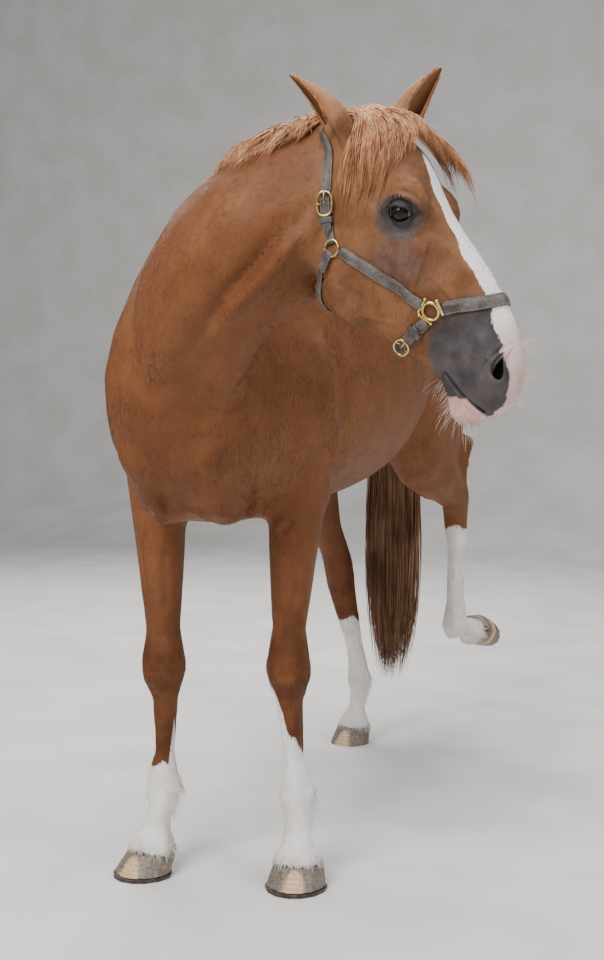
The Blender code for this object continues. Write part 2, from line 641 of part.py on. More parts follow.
# ---------------------------------------------------------------- eyes, ears
def eye(hand, name):
    """An eyeball in its hollow; the head is cut back around it."""
    form = bmesh.new()
    centre = Matrix.Translation(eye_centre(hand))
    turn = HEAD_LEFT.to_track_quat("Z", "Y").to_matrix().to_4x4()
    bmesh.ops.create_uvsphere(form, u_segments=12, v_segments=7, radius=EYE_RADIUS, matrix=centre @ turn)
    ball = new_object(name, mesh_from(form, name), "eye")
    for face in ball.data.polygons:
        face.use_smooth = True
    cutter = swollen(ball, CUT)
    boolean(bpy.data.objects["head"], cutter, "DIFFERENCE")
    largest_body(bpy.data.objects["head"])
    drop(cutter)
    return ball


def ear(name, root, tip, facing, width, flesh_cutter):
    """A curled, pointed ear: a deep cup at the root that closes to a point."""
    root, tip, facing = Vector(root), Vector(tip), Vector(facing)
    along = (tip - root).normalized()
    facing = (facing - along * along.dot(facing)).normalized()
    side = along.cross(facing)
    #        share  width  depth  curl half angle, lean of the tip towards the facing side
    rows = [(-0.12, 0.62, 0.62, 3.00, 0.00),
            (0.05, 0.74, 0.72, 2.75, 0.00),
            (0.20, 0.88, 0.80, 2.45, -0.02),
            (0.38, 1.00, 0.80, 2.15, -0.04),
            (0.58, 0.92, 0.66, 1.95, -0.04),
            (0.76, 0.66, 0.44, 1.85, -0.01),
            (0.90, 0.36, 0.22, 1.80, 0.03),
            (1.00, 0.10, 0.06, 1.80, 0.06)]
    rings = []
    for share, wide, deep, curl, lean in rows:
        middle = root + (tip - root) * share + facing * (lean * width)
        outer, inner = [], []
        for k in range(-3, 4):
            angle = curl * k / 3
            way = side * math.sin(angle) * width * wide / 2 - facing * math.cos(angle) * width * deep / 2
            outer.append(middle + way)
            inner.append(middle + way * 0.76)
        rings.append(outer + list(reversed(inner)))
    form = bmesh.new()
    loft(form, rings)
    shell = new_object(name, mesh_from(form, name), "coat")
    boolean(shell, flesh_cutter, "DIFFERENCE")
    return largest_body(shell)


# ---------------------------------------------------------------- hooves and shoes
HOOF_PROFILE = ((0.0, 1.00), (0.45, 0.93), (1.0, 0.85))


def hoof_ring(centre, ahead, side, up, lift, half_width, length, heel_share, count=16):
    """An outline of the hoof: round at the toe, narrow and blunt at the heel."""
    ring = []
    for k in range(count):
        angle = 2 * math.pi * k / count
        forward, across = math.cos(angle), math.sin(angle)
        reach = forward * length if forward > 0 else forward * length * heel_share
        taper = 1.0 if forward > -0.2 else 1.0 + 0.22 * (forward + 0.2)
        ring.append(centre + ahead * reach + side * across * half_width * taper + up * lift)
    return ring


def hoof(name, centre, ahead, side, up, low, bulk=1.0):
    """The horn of one foot, from its sole at `low` up to the slanted coronet."""
    form = bmesh.new()
    rings = []
    for rise, share in HOOF_PROFILE:
        back = -0.028 * rise * bulk
        ring = hoof_ring(centre + ahead * back, ahead, side, up, 0.0, HOOF_HALF_WIDTH * share * bulk,
                         0.070 * share * bulk, 0.80)
        for point in ring:
            front_share = ((point - centre).dot(ahead) / (0.072 * bulk) + 1.0) / 2.0
            height = low + rise * ((0.036 + 0.022 * front_share) * bulk - low)
            point += up * height
        rings.append(ring)
    loft(form, rings)
    return new_object(name, mesh_from(form, name), "hoof_horn")


def shoe(name, centre, ahead, side):
    """A flat steel shoe, open at the heels, under a fore hoof."""
    form = bmesh.new()
    up = Vector((0, 0, 1))
    steps = 12
    rings = []
    for k in range(steps + 1):
        angle = math.radians(-150 + 300 * k / steps)
        forward, across = math.cos(angle), math.sin(angle)
        taper = 1.0 if forward > -0.2 else 1.0 + 0.22 * (forward + 0.2)
        reach = 0.072 * (forward if forward > 0 else forward * 0.80)
        outer = centre + ahead * (reach * 1.03) + side * (across * HOOF_HALF_WIDTH * taper * 1.03)
        inner = centre + ahead * (reach * 0.70) + side * (across * HOOF_HALF_WIDTH * taper * 0.67)
        rings.append([outer, inner, inner + up * SHOE_THICKNESS, outer + up * SHOE_THICKNESS])
    loft(form, rings)
    return new_object(name, mesh_from(form, name), "shoe_steel")


def feet():
    """Four hooves, with shoes under the fore feet; the lifted one turns its sole back."""
    up = Vector((0, 0, 1))
    for name, place in (("left", FORE_LEFT), ("right", FORE_RIGHT)):
        ahead = Matrix.Rotation(place["toe"], 3, "Z") @ Vector((0, -1, 0))
        side = ahead.cross(up) * -1
        centre = Vector((place["foot"], place["y"], 0)) + ahead * 0.060
        centre.x = place["foot"] + ahead.x * 0.03
        hoof("hoof_fore_" + name, centre, ahead, side, up, SHOE_THICKNESS + CUT)
        shoe("shoe_fore_" + name, centre, ahead, side)
    ahead = Vector((-0.15, -0.99, 0)).normalized()
    centre = Vector((-0.095, 1.292, 0)) + ahead * 0.060
    hoof("hoof_hind_right", centre, ahead, ahead.cross(up) * -1, up, 0.0, 0.93)
    side = Vector((0.93, -0.36, 0.0))
    lifted_hoof(LIFTED_WAY, (side - LIFTED_WAY * side.dot(LIFTED_WAY)).normalized())


def lifted_hoof(way, side):
    """The hoof of the lifted foot, its toe pointing on from the pastern, sole to the rear."""
    up = Vector((0, 0, 1))
    lift = (up - way * up.dot(way)).normalized()
    toe = (way * 0.643 - lift * 0.766).normalized()
    rise = toe.cross(side).normalized()
    if rise.dot(way) > 0:
        rise = -rise
    coronet = LIFTED_FETLOCK + way * 0.100
    centre = coronet - rise * 0.060 + toe * 0.030
    hoof("hoof_hind_left", centre, toe, side, rise, 0.0, 0.93)


# ---------------------------------------------------------------- hair
def resting(tree, point, lift):
    """The nearest place on a surface, raised from it, and the surface's direction there."""
    place, normal, _, _ = tree.find_nearest(Vector(point))
    return place + normal * lift, normal


def lock(form, tree, points, widths, thickness):
    """A flat tapering lock of hair laid along the surface through the points."""
    rows = smooth_rows([(*point, width) for point, width in zip(points, widths)], 3)
    rings = []
    for i, row in enumerate(rows):
        place, normal = resting(tree, row[:3], thickness * 0.30)
        ahead = Vector(rows[min(i + 1, len(rows) - 1)][:3] - rows[max(i - 1, 0)][:3])
        across = ahead.cross(normal).normalized()
        normal = across.cross(ahead).normalized()
        share = 0.35 + 0.65 * row[3] / max(widths)
        rings.append(section(place, across, normal, row[3] / 2, thickness * share,
                             thickness * share, count=10))
    loft(form, rings)


def crest_path():
    """Points along the crest of the neck, from the poll back to the withers."""
    rows = [(0.374, -0.330, 1.575), (0.310, -0.312, 1.568), (0.215, -0.272, 1.550),
            (0.135, -0.214, 1.527), (0.066, -0.135, 1.508), (0.022, -0.045, 1.510),
            (0.007, 0.050, 1.530)]
    return smooth_rows(rows, 3)


def mane(tree):
    """The mane, parted along the crest and falling on the right side of the neck."""
    form = bmesh.new()
    crest = crest_path()
    count = len(crest)
    for i in range(count - 1):
        root = Vector(crest[i])
        ahead = Vector(crest[min(i + 1, count - 1)] - crest[max(i - 1, 0)]).normalized()
        right = Vector((-ahead.y, ahead.x, 0)) * -1
        right = -right if right.dot(Vector((-1, -1, 0))) < 0 else right
        right.normalize()
        fall = 0.075 + 0.075 * (i / count) + 0.012 * math.sin(i * 2.4)
        start = root - right * 0.025
        over = root + right * 0.030 + Vector((0, 0, 0.005))
        middle = root + right * 0.060 - Vector((0, 0, fall * 0.5)) + ahead * 0.010
        end = root + right * 0.070 - Vector((0, 0, fall)) + ahead * 0.018
        lock(form, tree, (start, over, middle, end), (0.040, 0.048, 0.040, 0.012), 0.011)
    return hair_piece(form, "mane", 150)


def forelock(tree):
    """The forelock, spreading from the poll over the forehead to both sides."""
    form = bmesh.new()
    #          where each lock ends: down, front, left
    ends = ((0.090, -0.110, -0.095), (0.125, -0.080, -0.100), (0.148, -0.045, -0.092),
            (0.150, -0.020, -0.066), (0.135, -0.005, -0.040), (0.105, 0.005, -0.005),
            (0.115, 0.000, 0.030), (0.135, -0.010, 0.060), (0.150, -0.030, 0.085))
    for k, (down, front, left) in enumerate(ends):
        root = head_point(-0.004, -0.050, left * 0.25)
        over = head_point(0.030 + down * 0.12, -0.022 + front * 0.3, left * 0.62)
        middle = head_point(down * 0.60, front * 0.75 + 0.004, left * 0.98)
        end = head_point(down, front, left * 1.06)
        lock(form, tree, (root, over, middle, end), (0.034, 0.040, 0.036, 0.010), 0.010)
    return hair_piece(form, "forelock", 120)


def hair_piece(form, name, faces):
    """Melts the locks into one piece of hair and thins it."""
    piece = new_object(name, mesh_from(form, name), "mane_hair")
    fuse(piece, 0.006, 3)
    largest_body(piece)
    simplify(piece, faces)
    piece.data.materials.clear()
    piece.data.materials.append(finish("mane_hair"))
    return piece


def tail_hair():
    """The long hair of the tail, from the dock nearly to the fetlocks."""
    rows = [(0.000, 1.350, 1.352, 0.030, 0.020, 0.034),
            (-0.003, 1.392, 1.290, 0.044, 0.038, 0.042),
            (-0.006, 1.403, 1.180, 0.054, 0.046, 0.048),
            (-0.010, 1.403, 1.040, 0.066, 0.052, 0.054),
            (-0.014, 1.400, 0.860, 0.082, 0.056, 0.058),
            (-0.018, 1.397, 0.640, 0.092, 0.058, 0.060),
            (-0.020, 1.395, 0.440, 0.086, 0.052, 0.056),
            (-0.020, 1.395, 0.290, 0.064, 0.040, 0.044),
            (-0.020, 1.395, 0.180, 0.034, 0.024, 0.026),
            (-0.020, 1.395, 0.140, 0.012, 0.010, 0.010)]
    form = bmesh.new()
    limb(form, rows, (1, 0, 0), count=12, steps=1)
    return new_object("tail_hair", mesh_from(form, "tail_hair"), "mane_hair")


# ---------------------------------------------------------------- headcollar
def band(name, tree, route, width=STRAP_WIDTH, lift=0.0028, steps=2):
    """A leather strap that follows the head through places of down, front and left."""
    points = [tuple(head_point(*place)) for place in route]
    rows = smooth_rows(points, steps)
    places, normals = [], []
    for row in rows:
        place, normal = resting(tree, row, lift + STRAP_THICKNESS / 2)
        places.append(place)
        normals.append(normal)
    count = len(places)
    rings = []
    for i in range(count):
        before, after = max(i - 1, 0), min(i + 1, count - 1)
        normal = (normals[before] + normals[i] * 2 + normals[after]).normalized()
        ahead = places[after] - places[before]
        across = ahead.cross(normal).normalized() * (width / 2)
        thick = across.cross(ahead).normalized() * (STRAP_THICKNESS / 2)
        middle = places[i]
        rings.append([middle - across - thick, middle + across - thick,
                      middle + across + thick, middle - across + thick])
    form = bmesh.new()
    loft(form, rings)
    return new_object(name, mesh_from(form, name), "leather")


def metal_ring(name, tree, place, half_long, half_wide, way=(0, 0, 1), lift=0.0125):
    """A brass ring or buckle frame lying on the straps."""
    centre, normal = resting(tree, head_point(*place), lift)
    way = Vector(way)
    along = (way - normal * way.dot(normal)).normalized()
    across = normal.cross(along)
    form = bmesh.new()
    rings = []
    for k in range(12):
        angle = 2 * math.pi * k / 12
        out = along * math.cos(angle) * half_long + across * math.sin(angle) * half_wide
        middle = centre + out
        radial = out.normalized()
        ring = []
        for j in range(4):
            turn = 2 * math.pi * j / 4
            ring.append(middle + radial * math.cos(turn) * RING_WIRE + normal * math.sin(turn) * RING_WIRE)
        rings.append(ring)
    loops = [[form.verts.new(point) for point in ring] for ring in rings]
    for k in range(12):
        near, far = loops[k], loops[(k + 1) % 12]
        for j in range(4):
            form.faces.new((near[j], near[(j + 1) % 4], far[(j + 1) % 4], far[j]))
    bmesh.ops.recalc_face_normals(form, faces=form.faces)
    return new_object(name, mesh_from(form, name), "brass")


def mirrored(route):
    """The same places on the head's other side."""
    return [(down, front, -left) for down, front, left in route]


def headcollar(tree):
    """Crown, cheek, nose, chin and throat straps with their brass rings and buckles."""
    side = [(0.195, -0.185, -0.085), (0.136, -0.164, -0.085), (0.080, -0.140, -0.080),
            (0.030, -0.120, -0.070), (-0.015, -0.100, -0.045)]
    crown = side + [(-0.030, -0.090, 0.0)] + list(reversed(mirrored(side)))
    band("halter_crown", tree, crown)
    cheek = [(0.222, -0.180, -0.085), (0.265, -0.155, -0.085), (0.320, -0.125, -0.080),
             (0.368, -0.100, -0.070)]
    band("halter_cheek_right", tree, cheek, steps=3)
    band("halter_cheek_left", tree, mirrored(cheek), steps=3)
    nose = [(0.392, -0.072, -0.070), (0.402, -0.035, -0.060), (0.408, -0.008, -0.035)]
    band("halter_noseband", tree, nose + [(0.410, 0.004, 0.0)] + list(reversed(mirrored(nose))),
         width=STRAP_WIDTH * 1.1)
    chin = [(0.402, -0.112, -0.068), (0.412, -0.150, -0.060), (0.422, -0.190, -0.040)]
    band("halter_chin", tree, chin + [(0.426, -0.205, 0.0)] + list(reversed(mirrored(chin))))
    throat = [(0.212, -0.215, -0.080), (0.222, -0.250, -0.072), (0.240, -0.285, -0.050)]
    band("halter_throat", tree, throat + [(0.246, -0.295, 0.0)] + list(reversed(mirrored(throat))),
         width=STRAP_WIDTH * 0.6)
    for name, hand in (("right", -1), ("left", 1)):
        metal_ring("halter_ring_" + name, tree, (0.208, -0.190, hand * 0.085), 0.015, 0.015)
        metal_ring("halter_square_" + name, tree, (0.388, -0.092, hand * 0.072), 0.022, 0.017)
    metal_ring("halter_buckle_crown", tree, (0.128, -0.160, -0.085), 0.021, 0.015, -HEAD_DOWN)
    metal_ring("halter_buckle_chin", tree, (0.418, -0.165, -0.058), 0.018, 0.014, HEAD_FRONT)


# ---------------------------------------------------------------- assembly
def clear_scene():
    for thing in list(bpy.data.objects):
        bpy.data.objects.remove(thing)


def cut_clear(names, cutter):
    """Cuts the named pieces back from the surface that they lie on."""
    for name in names:
        piece = bpy.data.objects[name]
        finish_name = piece.data.materials[0].name
        boolean(piece, cutter, "DIFFERENCE")
        largest_body(piece)
        piece.data.materials.clear()
        piece.data.materials.append(finish(finish_name))


def clear_of(name, others):
    """Cuts the other pieces back from the named one, by the width of a cut."""
    cutter = swollen(bpy.data.objects[name], CUT)
    cut_clear(others, cutter)
    drop(cutter)


def fit_coronets():
    """Cuts each pastern back to the hoof that it grows from."""
    for end in ("fore_left", "fore_right", "hind_left", "hind_right"):
        clear_of("hoof_" + end, ["pastern_" + end])


def stand_on_origin():
    """Moves everything so that the bottom middle of the whole box is the origin."""
    pieces = [thing for thing in bpy.data.objects if not thing.hide_render]
    corners = np.vstack([points_of(thing.data) for thing in pieces])
    low, high = corners.min(axis=0), corners.max(axis=0)
    shift = np.array([(low[0] + high[0]) / 2, (low[1] + high[1]) / 2, low[2]])
    for thing in pieces:
        set_points(thing.data, points_of(thing.data) - shift)


def shade(angle=math.radians(50)):
    """Smooth shading with true edges kept sharp."""
    for thing in bpy.data.objects:
        thing.data.shade_smooth()
        thing.data.set_sharp_from_angle(angle=angle)


def main():
    clear_scene()
    flesh = whole_flesh()
    simplify(flesh, FLESH_FACES, weigh_for_detail(flesh))
    flesh.vertex_groups.clear()
    form = bmesh.new()
    form.from_mesh(flesh.data)
    tree = BVHTree.FromBMesh(form)
    form.free()
    skin_cutter = swollen(flesh, CUT * 2)
    mane(tree)
    forelock(tree)
    tail_hair()
    headcollar(tree)
    ear("ear_right", head_point(0.036, -0.100, -0.066), head_point(-0.096, -0.128, -0.105),
        (-0.94, -0.25, 0.0), 0.070, skin_cutter)
    ear("ear_left", head_point(0.040, -0.055, 0.074), head_point(-0.045, 0.062, 0.120),
        (0.90, -0.35, 0.0), 0.070, skin_cutter)
    straps = [thing.name for thing in bpy.data.objects if thing.name.startswith("halter_")]
    cut_clear(straps + ["mane", "forelock", "tail_hair"], skin_cutter)
    drop(skin_cutter)
    clear_of("ear_left", ["forelock", "halter_crown"])
    clear_of("ear_right", ["forelock", "halter_crown"])
    part_the_flesh(flesh)
    clear_of("tail_dock", ["tail_hair"])
    eye(1, "eye_left")
    eye(-1, "eye_right")
    feet()
    fit_coronets()
    stand_on_origin()
    shade()


main()
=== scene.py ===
# %% [markdown]
# # A chestnut horse, dressed
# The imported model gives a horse's body as faceted solids. This lesson covers it with one smooth skin,
# shapes its folds, lids and muscles, and grows coat, mane and tail on it as real mesh. Everything is in
# metres in the model's own frame: the horse faces -Y, its left is +X and up is +Z.

# %% Load the frame
import math

import bpy
import numpy as np
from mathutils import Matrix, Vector
from mathutils.bvhtree import BVHTree


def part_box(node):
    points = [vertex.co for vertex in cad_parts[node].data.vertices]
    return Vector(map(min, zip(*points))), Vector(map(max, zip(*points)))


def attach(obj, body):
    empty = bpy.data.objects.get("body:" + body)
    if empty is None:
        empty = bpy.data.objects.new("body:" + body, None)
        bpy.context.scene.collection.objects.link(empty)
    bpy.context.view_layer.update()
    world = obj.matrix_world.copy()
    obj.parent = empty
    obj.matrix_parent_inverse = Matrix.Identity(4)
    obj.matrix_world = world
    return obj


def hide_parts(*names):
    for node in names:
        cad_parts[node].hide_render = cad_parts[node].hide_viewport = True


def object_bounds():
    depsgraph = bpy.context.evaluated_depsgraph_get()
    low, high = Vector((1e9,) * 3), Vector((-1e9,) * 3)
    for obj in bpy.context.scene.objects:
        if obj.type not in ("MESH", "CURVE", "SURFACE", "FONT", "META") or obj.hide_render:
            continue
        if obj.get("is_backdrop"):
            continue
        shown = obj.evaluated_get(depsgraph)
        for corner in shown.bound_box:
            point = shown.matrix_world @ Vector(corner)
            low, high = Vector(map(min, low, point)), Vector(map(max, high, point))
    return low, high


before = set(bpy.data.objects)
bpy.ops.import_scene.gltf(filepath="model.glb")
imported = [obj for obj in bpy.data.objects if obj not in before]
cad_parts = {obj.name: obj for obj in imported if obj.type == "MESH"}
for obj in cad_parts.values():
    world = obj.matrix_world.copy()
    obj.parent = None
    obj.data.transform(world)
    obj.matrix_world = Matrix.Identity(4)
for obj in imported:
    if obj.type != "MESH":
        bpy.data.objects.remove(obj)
cad_low, cad_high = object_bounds()
UP = Vector((0, 0, 1))
SIDES = {-1: "right", 1: "left"}
LEGS = ("fore_left", "fore_right", "hind_left", "hind_right")
LIFTED = "hind_left"
print("CAD box", [round(b - a, 3) for a, b in zip(cad_low, cad_high)], "nodes", len(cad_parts))

# %% [markdown]
# ## The head's own frame
# The head hangs at an angle, so its details are placed in its own directions: down the face line, in
# front of it, and to the head's left. The middle between the two packed eyeballs ties this frame to the
# solids.

# %% Head and body frames
HEAD_TURN = math.radians(83)
HEAD_DROP = math.radians(26)
EYE_DOWN, EYE_FRONT = 0.222, -0.056
EYE_RADIUS = 0.0205
FACING = Vector((math.sin(HEAD_TURN), -math.cos(HEAD_TURN), 0.0))
HEAD_LEFT = Vector((-FACING.y, FACING.x, 0.0))
HEAD_DOWN = FACING * math.sin(HEAD_DROP) - UP * math.cos(HEAD_DROP)
HEAD_FRONT = FACING * math.cos(HEAD_DROP) + UP * math.sin(HEAD_DROP)
CROWN_FROM_FEET = Vector((0.508, -0.355, 1.603))


def node_middle(name):
    low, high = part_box(name)
    return (low + high) / 2


eyes_middle = (node_middle("eye_left") + node_middle("eye_right")) / 2
CROWN = eyes_middle - HEAD_DOWN * EYE_DOWN - HEAD_FRONT * EYE_FRONT
SHIFT = CROWN - CROWN_FROM_FEET


def head_point(down, front, left=0.0):
    return CROWN + HEAD_DOWN * down + HEAD_FRONT * front + HEAD_LEFT * left


def body_point(x, y, z):
    """A place on the body, in metres from the point between the fore feet."""
    return Vector((x, y, z)) + SHIFT


def head_places(points):
    """Down, front and left of many points at once, as three columns."""
    away = points - np.array(CROWN)
    return away @ np.array([HEAD_DOWN, HEAD_FRONT, HEAD_LEFT]).T


print("crown of the head at", [round(v, 3) for v in CROWN])

# %% [markdown]
# ## Camera
# Camera, floor and light come first, so that every later step can be looked at. The camera stands in
# front of the horse and to its left, at chest height, and looks slightly down.

# %% Camera
CAMERA_FROM_FEET = (1.198, -2.681, 1.036)
CAMERA_YAW = math.radians(20.5)
CAMERA_PITCH = math.radians(3.0)
camera_data = bpy.data.cameras.new("camera")
camera_data.sensor_width = 36.0
camera_data.lens = 50.0
camera_data.clip_end = 60.0
camera = bpy.data.objects.new("camera", camera_data)
bpy.context.scene.collection.objects.link(camera)
camera.location = body_point(*CAMERA_FROM_FEET)
looking = Vector((-math.sin(CAMERA_YAW) * math.cos(CAMERA_PITCH),
                  math.cos(CAMERA_YAW) * math.cos(CAMERA_PITCH), -math.sin(CAMERA_PITCH)))
camera.rotation_euler = looking.to_track_quat("-Z", "Y").to_euler()
bpy.context.scene.camera = camera
print("camera at", [round(v, 2) for v in camera.location])

# %% [markdown]
# ## Helpers for objects
# Operators act on whatever is selected and active, so each step selects its own things first.


# %% Select, settle and apply
def nothing_selected():
    if bpy.context.object and bpy.context.object.mode != "OBJECT":
        bpy.ops.object.mode_set(mode="OBJECT")
    bpy.ops.object.select_all(action="DESELECT")


def select_only(*things):
    nothing_selected()
    for thing in things:
        thing.select_set(True)
    bpy.context.view_layer.objects.active = things[0]


def settle(thing):
    """Applies an object's place and turn, so that its mesh holds them."""
    select_only(thing)
    bpy.ops.object.transform_apply(location=True, rotation=True, scale=True)
    return thing


def apply_modifier(thing, kind, **settings):
    """Adds one modifier with its settings and applies it."""
    select_only(thing)
    modifier = thing.modifiers.new(kind.lower(), kind)
    for key, value in settings.items():
        setattr(modifier, key, value)
    bpy.ops.object.modifier_apply(modifier=modifier.name)
    return thing


print("selection helpers ready")

# %% Edit whole meshes and join them
def edit_whole(thing, *operations):
    """Runs mesh operators, each given with its settings, on all of one object."""
    select_only(thing)
    bpy.ops.object.mode_set(mode="EDIT")
    bpy.ops.mesh.select_all(action="SELECT")
    for operator, settings in operations:
        operator(**settings)
    bpy.ops.object.mode_set(mode="OBJECT")
    return thing


def join(title, *things):
    """Makes one object of several, under a new name."""
    select_only(*things)
    bpy.ops.object.join()
    made = bpy.context.object
    made.name = title
    return made


print("object helpers ready")


# %% [markdown]
# ## Helpers for meshes
# A loop over a hundred thousand points is slow, so whole meshes are read and written as arrays.


# %% Points, normals and new meshes
def read(items, key, width, kind=np.float32):
    """One property of all items of a mesh as rows."""
    flat = np.empty(len(items) * width, kind)
    items.foreach_get(key, flat)
    return flat.reshape(-1, width)


def points_of(mesh):
    return read(mesh.vertices, "co", 3).astype(float)


def normals_of(mesh):
    return read(mesh.vertices, "normal", 3).astype(float)


def face_middles(mesh):
    return read(mesh.polygons, "center", 3).astype(float)


def set_points(mesh, points):
    mesh.vertices.foreach_set("co", points.astype(np.float32).ravel())
    mesh.update()


def mesh_object(title, points, faces):
    mesh = bpy.data.meshes.new(title)
    mesh.from_pydata([tuple(p) for p in points], [], [tuple(f) for f in faces])
    thing = bpy.data.objects.new(title, mesh)
    bpy.context.scene.collection.objects.link(thing)
    return thing


print("mesh readers ready")

# %% Ramps, bells and lengths
def ramp(values, low, high):
    """0 below low, 1 above high, smooth between."""
    t = np.clip((values - low) / (high - low), 0, 1)
    return t * t * (3 - 2 * t)


def bell(values, middle, width):
    """1 at the middle and fading to 0 on both sides."""
    return np.exp(-((values - middle) / width) ** 2)


def flattened(way, normal):
    """A direction laid flat on a surface that has this normal."""
    return (way - normal * way.dot(normal)).normalized()


def lengths_along(line):
    return np.r_[0, np.cumsum(np.linalg.norm(np.diff(line, axis=0), axis=1))]


def columns_at(spots, known, rows):
    """Every column of some rows, read at new spots between the known ones."""
    return np.stack([np.interp(spots, known, rows[:, k]) for k in range(rows.shape[1])], axis=1)


print("halfway up, a smooth ramp reaches", float(ramp(0.5, 0, 1)))

# %% [markdown]
# ## Floor and light
# A pale floor that curves up into a backdrop keeps the picture plain. The backdrop is one edge of the
# floor, extruded in steps. Large area lamps stand in for an overcast sky, and a weak grey world fills the
# shadows.

# %% Floor and backdrop
#                 up and back of each step of the backdrop
BACKDROP_STEPS = ((0.25, 0.9), (0.75, 0.55), (1.2, 0.2), (5.0, 0.0))
FLOOR_HALF_DEPTH = 6.0
nothing_selected()
bpy.ops.mesh.primitive_plane_add(size=1, location=(0, 0, 0))
floor = bpy.context.object
floor.name = "floor"
floor.scale = (14, 2 * FLOOR_HALF_DEPTH, 1)
settle(floor)
bpy.ops.object.mode_set(mode="EDIT")
bpy.ops.mesh.select_all(action="DESELECT")
bpy.ops.object.mode_set(mode="OBJECT")
for edge in floor.data.edges:
    ends = [floor.data.vertices[i].co for i in edge.vertices]
    edge.select = all(end.y > FLOOR_HALF_DEPTH - 0.1 for end in ends)
bpy.ops.object.mode_set(mode="EDIT")
for lift, back in BACKDROP_STEPS:
    bpy.ops.mesh.extrude_region_move(TRANSFORM_OT_translate={"value": (0, back, lift)})
bpy.ops.object.mode_set(mode="OBJECT")
floor.data.shade_smooth()
floor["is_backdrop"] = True
print("floor with a raised back,", len(floor.data.polygons), "faces")

# %% Lamps
#              place, what it looks at, its size and power, and its colour
SKY = {"sky_front": ((-1.0, -4.6, 4.6), (0, 0, 1.0), 2.8, 350, (1.0, 0.97, 0.93)),
       "sky_left": ((4.0, -1.6, 3.4), (0, 0, 1.1), 2.4, 95, (0.94, 0.97, 1.0)),
       "sky_back": ((-2.6, 3.6, 3.8), (0, 0.2, 1.0), 2.6, 150, (1, 1, 1)),
       "sky_top": ((0, 0, 4.6), (0, 0, 0), 4.0, 190, (1, 1, 1))}
for name, (place, aim, size, power, colour) in SKY.items():
    data = bpy.data.lights.new(name, "AREA")
    data.shape = "SQUARE"
    data.size = size
    data.energy = power
    data.color = colour
    lamp = bpy.data.objects.new(name, data)
    bpy.context.scene.collection.objects.link(lamp)
    lamp.location = place
    lamp.rotation_euler = (Vector(aim) - Vector(place)).to_track_quat("-Z", "Y").to_euler()
world = bpy.data.worlds.new("studio")
bpy.context.scene.world = world
world.use_nodes = True
world.node_tree.nodes["Background"].inputs["Color"].default_value = (0.88, 0.88, 0.90, 1)
world.node_tree.nodes["Background"].inputs["Strength"].default_value = 0.28
print(len(SKY), "soft lamps")

# %% [markdown]
# ## Shader maths in plain Python
# A material is a graph of nodes, and long graphs are hard to read. This class wraps a socket, so that a
# sum or product of values is written as one, and every other node comes from one method.


# %% Socket class
class Sock:
    """A socket that can be added, multiplied and compared."""

    def __init__(self, tree, socket):
        self.tree, self.socket = tree, socket

    def node(self, kind, out=0, settings=None, **inputs):
        """Adds a node; settings first, then its sockets by name or number."""
        made = self.tree.nodes.new(kind)
        for key, value in (settings or {}).items():
            setattr(made, key, value)
        for key, value in inputs.items():
            key = int(key[1:]) if key[0] == "_" else key.replace("_", " ")
            if isinstance(value, Sock):
                self.tree.links.new(value.socket, made.inputs[key])
            else:
                made.inputs[key].default_value = value
        return Sock(self.tree, made.outputs[out])

    def math(self, operation, *values):
        sockets = {f"_{i}": value for i, value in enumerate(values)}
        return self.node("ShaderNodeMath", settings={"operation": operation}, **sockets)

    def __add__(self, other):
        return self.math("ADD", self, other)

    def __radd__(self, other):
        return self.math("ADD", other, self)

    def __sub__(self, other):
        return self.math("SUBTRACT", self, other)

    def __rsub__(self, other):
        return self.math("SUBTRACT", other, self)

    def __mul__(self, other):
        return self.math("MULTIPLY", self, other)

    def __rmul__(self, other):
        return self.math("MULTIPLY", other, self)

    def root(self):
        return self.math("SQRT", self)

    def sine(self):
        return self.math("SINE", self)

    def over(self, low, high):
        """0 below low and 1 above high, with a smooth step between."""
        return self.node("ShaderNodeMapRange", settings={"interpolation_type": "SMOOTHSTEP"},
                         Value=self, From_Min=low, From_Max=high)

    def mix(self, low, high):
        """A colour between low and high, by this factor."""
        return self.node("ShaderNodeMix", out=2, settings={"data_type": "RGBA"}, _0=self, _6=low, _7=high)

    def shaded(self, value):
            return self.node("ShaderNodeHueSaturation", Color=self, Value=value)

    def noise(self, scale, detail=3.0, rough=0.5):
            return self.node("ShaderNodeTexNoise", Vector=self, Scale=scale, Detail=detail, Roughness=rough)

    def streaks(self, scale, turn=(0, 0, 0), detail=3.0):
        """Noise that is stretched by different scales along three turned directions."""
        mapped = self.node("ShaderNodeMapping", Vector=self, Scale=scale, Rotation=turn)
        return mapped.noise(1.0, detail)

    def cells(self, scale):
        """Distance to the nearest of many scattered points over this vector."""
        return self.node("ShaderNodeTexVoronoi", Vector=self, Scale=scale)

    def attribute(self, name):
            return self.node("ShaderNodeAttribute", out=2, settings={"attribute_name": name})

    def bump(self, distance, strength=1.0, normal=None):
        """A relief from this value, on top of another relief if one is given."""
        extra = {"Normal": normal} if normal else {}
        return self.node("ShaderNodeBump", Height=self, Distance=distance, Strength=strength, **extra)


print("socket class ready")

# %% [markdown]
# ## Paint
# Every finish starts from the Principled shader with a few plain numbers. Colours are written as on a
# screen, from 0 to 255, and turned into the linear light that the shader needs.


# %% Materials and colours
def new_material(title, **sockets):
    """A Principled material with plain numbers set on its sockets, and its start socket."""
    material = bpy.data.materials.new(title)
    material.use_nodes = True
    tree = material.node_tree
    shader = tree.nodes["Principled BSDF"]
    for key, value in sockets.items():
        shader.inputs[key.replace("_", " ")].default_value = value
    coordinates = tree.nodes.new("ShaderNodeTexCoord")
    return material, Sock(tree, coordinates.outputs["Object"]), shader


def feed(shader, **links):
    for key, value in links.items():
        value.tree.links.new(value.socket, shader.inputs[key.replace("_", " ")])


